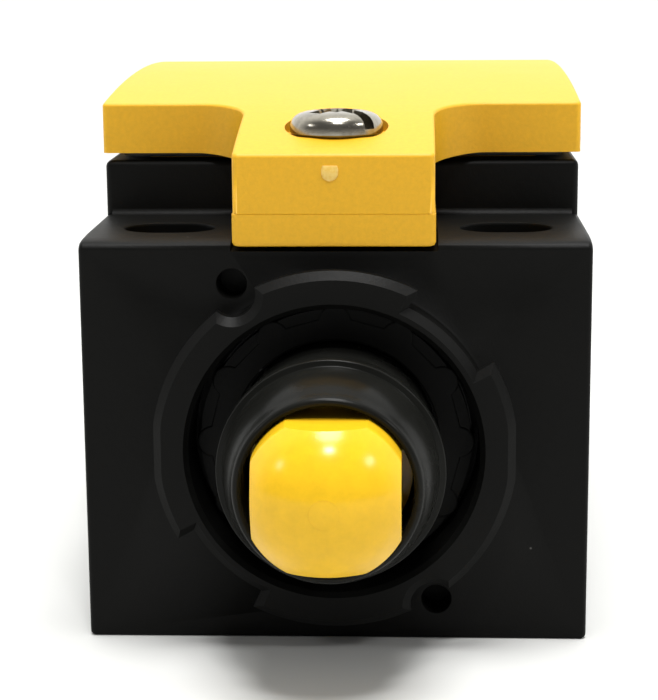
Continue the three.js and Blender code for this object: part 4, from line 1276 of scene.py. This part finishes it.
def coil(bm, radius, wire, front, rear):
    """Round wire wound along Y with its ends inside the given length."""
    start = front + wire / 2
    travel = rear - front - wire
    made = bmesh.ops.create_circle(
        bm, cap_ends=True, cap_tris=False, segments=WIRE_SIDES, radius=wire / 2,
        matrix=Matrix.Translation((radius, start, AXIS_Z)))
    steps = STEPS_PER_TURN * SPRING_TURNS
    bmesh.ops.spin(
        bm, geom=made["verts"] + bm.edges[:] + bm.faces[:], cent=(0, start, AXIS_Z), axis=(0, 1, 0),
        angle=2 * math.pi * SPRING_TURNS, steps=steps, dvec=Vector((0, travel / steps, 0)),
        use_duplicate=False)
    bmesh.ops.recalc_face_normals(bm, faces=bm.faces)


class SWITCH_OT_springs(bpy.types.Operator):
    """Wind the return spring and the two contact springs"""

    bl_idname = "switch.springs"
    bl_label = "Springs"

    def execute(self, context):
        for node, body, wire, joint, still_end in SPRINGS:
            low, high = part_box(node)
            wound = solid(coil, (high.x - low.x) / 2 - wire / 2, wire, low.y, high.y)
            finish_piece(wound, node + "_coil", body, paint("zinc"), [node], 60)
            if joint:
                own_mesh(wound)
        return {"FINISHED"}


# ------------------------------------------------------------------ contact block


class SWITCH_OT_contact_block(bpy.types.Operator):
    """Build the contact block's base and cap, its carrier and the contact bridges"""

    bl_idname = "switch.contact_block"
    bl_label = "Contact block"

    def execute(self, context):
        parts = (
            ("contact_block_base", "housing", "contact_block", "block"),
            ("contact_block_cap", "housing", "contact_block", "block"),
            ("contact_carrier", "contact_carrier", "carrier", "carrier"),
        )
        for node, body, slot, colour in parts:
            part = cad_copy(node)
            soften(part, 0.15 * MM, 2, 50)
            finish_piece(part, node + "_moulding", body, paint(colour), [node])
        for node, body in (("nc_bridge", "contact_carrier"), ("no_bridge", "no_bridge")):
            strip = contact_bridge(node)
            finish_piece(strip, node + "_strip", body, paint("silver"), [node])
        return {"FINISHED"}


def contact_bridge(node):
    """Sprung strip with a domed contact rivet at each end."""
    low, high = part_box(node)
    middle = (low.y + high.y) / 2
    half = 0.25 * MM
    rivet_r = 1.2 * MM
    toward = -1 if node == "nc_bridge" else 1
    strip = solid(box, (low.x, middle - half, low.z), (high.x, middle + half, high.z), 0.12 * MM, 2)
    face = middle + toward * (high.y - low.y) / 2
    profile = [
        (0, middle), (rivet_r, middle), (rivet_r, face - toward * 0.06 * MM), (0.7 * MM, face),
        (0, face)]
    rivets = [solid(turned, profile, 32, (side * CONTACT_SPREAD, 0, AXIS_Z)) for side in (-1, 1)]
    combine(strip, rivets, "UNION")
    return strip


POLES = [(pole, side) for pole in ("nc", "no") for side in ("left", "right")]
CLAMP_SLOT_TURNS = {"left": math.radians(265), "right": math.radians(280)}
BLOCK_SLOT_TURNS = {"left": math.radians(15), "right": math.radians(100)}


class SWITCH_OT_terminals(bpy.types.Operator):
    """Build the four terminals with their clamp plates and screws, and the block's own screws"""

    bl_idname = "switch.terminals"
    bl_label = "Terminals"

    def execute(self, context):
        for pole, side in POLES:
            tail = f"{pole}_{side}"
            terminal = cad_copy("terminal_" + tail)
            soften(terminal, 0.12 * MM, 2, 50)
            finish_piece(
                terminal, f"terminal_{tail}_strip", "housing", paint("brass"),
                ["terminal_" + tail])
            plate = cad_copy("clamp_plate_" + tail)
            soften(plate, 0.14 * MM, 2, 50)
            finish_piece(
                plate, f"clamp_plate_{tail}_square", "housing", paint("zinc"),
                ["clamp_plate_" + tail])
            driven_screw("clamp_screw_" + tail, 1.8 * MM, 1.25 * MM, CLAMP_SLOT_TURNS[side])
        for side, turn in BLOCK_SLOT_TURNS.items():
            driven_screw("block_screw_" + side, 1.6 * MM, 1.1 * MM, turn)
        return {"FINISHED"}


def driven_screw(node, head_height, core, turn):
    """Slotted and crossed screw with a thread, in the room of its CAD node."""
    low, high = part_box(node)
    spot = Vector(((low.x + high.x) / 2, (low.y + high.y) / 2, 0))
    head = (high.y - low.y) / 2
    seat = high.z - head_height
    root = core * 0.82
    half = 0.33 * MM
    profile = [(0, high.z), (head * 0.7, high.z - 0.03 * MM), (head * 0.92, high.z - 0.18 * MM)]
    profile += [(head, high.z - 0.45 * MM), (head, seat + 0.08 * MM), (head - 0.08 * MM, seat)]
    profile += [(root, seat)]
    profile += thread_profile(root, core, seat - 0.1 * MM, low.z + 0.3 * MM, 0.45 * MM)
    profile += [(core * 0.7, low.z), (0, low.z)]
    screw = solid(turned, profile, 48, spot, "Z")
    slot = solid(box, (-head * 1.2, -half, high.z - 0.75 * MM), (head * 1.2, half, high.z + MM))
    slot.data.transform(Matrix.Translation(spot) @ Matrix.Rotation(turn, 4, "Z"))
    arm = solid(
        cross_arm, spot, turn + math.pi / 2, head * 0.55, 0.3 * MM, high.z + 0.1 * MM, 1.1 * MM)
    combine(screw, [slot, arm], "DIFFERENCE")
    finish_piece(screw, node + "_turned", "housing", paint("zinc"), [node])


# ------------------------------------------------------------------ stage

FLOOR_REACH = 3.0
ROOM_FRONT = 0.2
ROOM_REAR = 1.4
ROOM_RISE = (-0.35, 0.5)
ROOM_TINT = (1, 1, 0.985, 1)
CAMERA_AT = (5.0 * MM, FRONT - 116.8 * MM, 42.7 * MM)
CAMERA_YAW = math.radians(-2.62)
CAMERA_PITCH = math.radians(11.76)
CAMERA_ROLL = math.radians(-0.44)
SENSOR_WIDTH = 36
FOCAL_LENGTH = 101.3
NEAR_CLIP = 0.005
SUN_AT = (0.03, -0.01, 1.0)
SUN_STRENGTH = 2.95
SUN_SPREAD = math.radians(26)
LAMP_TARGET = (0, FRONT, 15 * MM)

# name, place, width and height, power
SOFTBOXES = (
    ("key", (0.02, -0.2, 0.36), (0.06, 0.04), 0.62),
    ("right", (0.3, -0.13, 0.25), (0.07, 0.05), 0.22),
    ("left", (-0.3, -0.13, 0.2), (0.05, 0.05), 0.09),
)


def look_matrix(place, yaw, pitch, roll):
    """Camera at a place, looking along +Y, then turned, tipped down and rolled."""
    forward = Vector((math.sin(yaw) * math.cos(pitch), math.cos(yaw) * math.cos(pitch), -math.sin(pitch)))
    level = Vector((math.cos(yaw), -math.sin(yaw), 0))
    upward = level.cross(forward)
    right = level * math.cos(roll) + upward * math.sin(roll)
    up = upward * math.cos(roll) - level * math.sin(roll)
    turn = Matrix((right, up, -forward)).transposed().to_4x4()
    return Matrix.Translation(place) @ turn


def add_lamp(name, kind, place, target, energy):
    """Lamp of a kind at a place, turned towards a target."""
    lamp = bpy.data.lights.new(name, kind)
    lamp.energy = energy
    holder = bpy.data.objects.new(name, lamp)
    holder.location = place
    holder.rotation_euler = (Vector(target) - Vector(place)).to_track_quat("-Z", "Y").to_euler()
    bpy.context.scene.collection.objects.link(holder)
    return lamp


def softbox(name, place, size, energy):
    """Rectangular lamp that faces the object."""
    lamp = add_lamp(name, "AREA", place, LAMP_TARGET, energy)
    lamp.shape = "RECTANGLE"
    lamp.size, lamp.size_y = size


def floor_material():
    """Pale paper with a faint unevenness."""
    shader = Shader("floor_paper")
    tone = shader.noise(0.12, 2, 0.5)
    shader.set(
        Base_Color=shader.blend(tone, (0.6, 0.605, 0.59, 1), (0.63, 0.63, 0.615, 1)),
        Roughness=0.8,
        Specular_IOR_Level=0.1)
    return shader.material


def room_light():
    """World that is bright behind the object and dim in front of it."""
    world = bpy.data.worlds.new("room")
    world.use_nodes = True
    tree = world.node_tree
    spot = tree.nodes.new("ShaderNodeTexCoord")
    parts = tree.nodes.new("ShaderNodeSeparateXYZ")
    level = tree.nodes.new("ShaderNodeMapRange")
    level.interpolation_type = "SMOOTHSTEP"
    bounds = {
        "From Min": ROOM_RISE[0], "From Max": ROOM_RISE[1], "To Min": ROOM_FRONT, "To Max": ROOM_REAR}
    for key, value in bounds.items():
        level.inputs[key].default_value = value
    backdrop = tree.nodes["Background"]
    backdrop.inputs["Color"].default_value = ROOM_TINT
    tree.links.new(spot.outputs["Generated"], parts.inputs["Vector"])
    tree.links.new(parts.outputs["Y"], level.inputs["Value"])
    tree.links.new(level.outputs["Result"], backdrop.inputs["Strength"])
    return world


class SWITCH_OT_stage(bpy.types.Operator):
    """Set up the camera, the soft light and the pale floor"""

    bl_idname = "switch.stage"
    bl_label = "Stage"

    def execute(self, context):
        scene = context.scene
        lens = bpy.data.cameras.new("camera")
        lens.sensor_width = SENSOR_WIDTH
        lens.lens = FOCAL_LENGTH
        lens.clip_start = NEAR_CLIP
        camera = bpy.data.objects.new("camera", lens)
        camera.matrix_world = look_matrix(CAMERA_AT, CAMERA_YAW, CAMERA_PITCH, CAMERA_ROLL)
        scene.collection.objects.link(camera)
        scene.camera = camera

        sheet = bmesh.new()
        bmesh.ops.create_grid(sheet, x_segments=8, y_segments=8, size=FLOOR_REACH)
        floor = as_object(sheet, "floor")
        floor.data.materials.append(floor_material())

        scene.world = room_light()
        sun = add_lamp("overhead", "SUN", SUN_AT, (0, 0, LAMP_TARGET[2]), SUN_STRENGTH)
        sun.angle = SUN_SPREAD
        for name, place, size, power in SOFTBOXES:
            softbox(name, place, size, power)
        scene.view_settings.view_transform = "Standard"
        return {"FINISHED"}


# ------------------------------------------------------------------ panel and registration

STEPS = (
    SWITCH_OT_stage, SWITCH_OT_housing, SWITCH_OT_cover, SWITCH_OT_cover_screw, SWITCH_OT_plunger,
    SWITCH_OT_guide, SWITCH_OT_springs, SWITCH_OT_contact_block, SWITCH_OT_terminals)


class SWITCH_PT_panel(bpy.types.Panel):
    """Lists the building steps in the sidebar"""

    bl_idname = "SWITCH_PT_panel"
    bl_label = "Limit switch"
    bl_space_type = "VIEW_3D"
    bl_region_type = "UI"
    bl_category = "Switch"

    def draw(self, context):
        for step in STEPS:
            self.layout.operator(step.bl_idname)
        for group in (context.scene.switch_sizes, context.scene.switch_colours):
            for name in group.__annotations__:
                self.layout.prop(group, name)


CLASSES = (SwitchSizes, SwitchColours, *STEPS, SWITCH_PT_panel)


def register():
    for item in CLASSES:
        bpy.utils.register_class(item)
    bpy.types.Scene.switch_sizes = PointerProperty(type=SwitchSizes)
    bpy.types.Scene.switch_colours = PointerProperty(type=SwitchColours)


def unregister():
    del bpy.types.Scene.switch_colours
    del bpy.types.Scene.switch_sizes
    for item in reversed(CLASSES):
        bpy.utils.unregister_class(item)


def main():
    register()
    for step in STEPS:
        group, name = step.bl_idname.split(".")
        getattr(getattr(bpy.ops, group), name)()


if __name__ == "__main__":
    main()
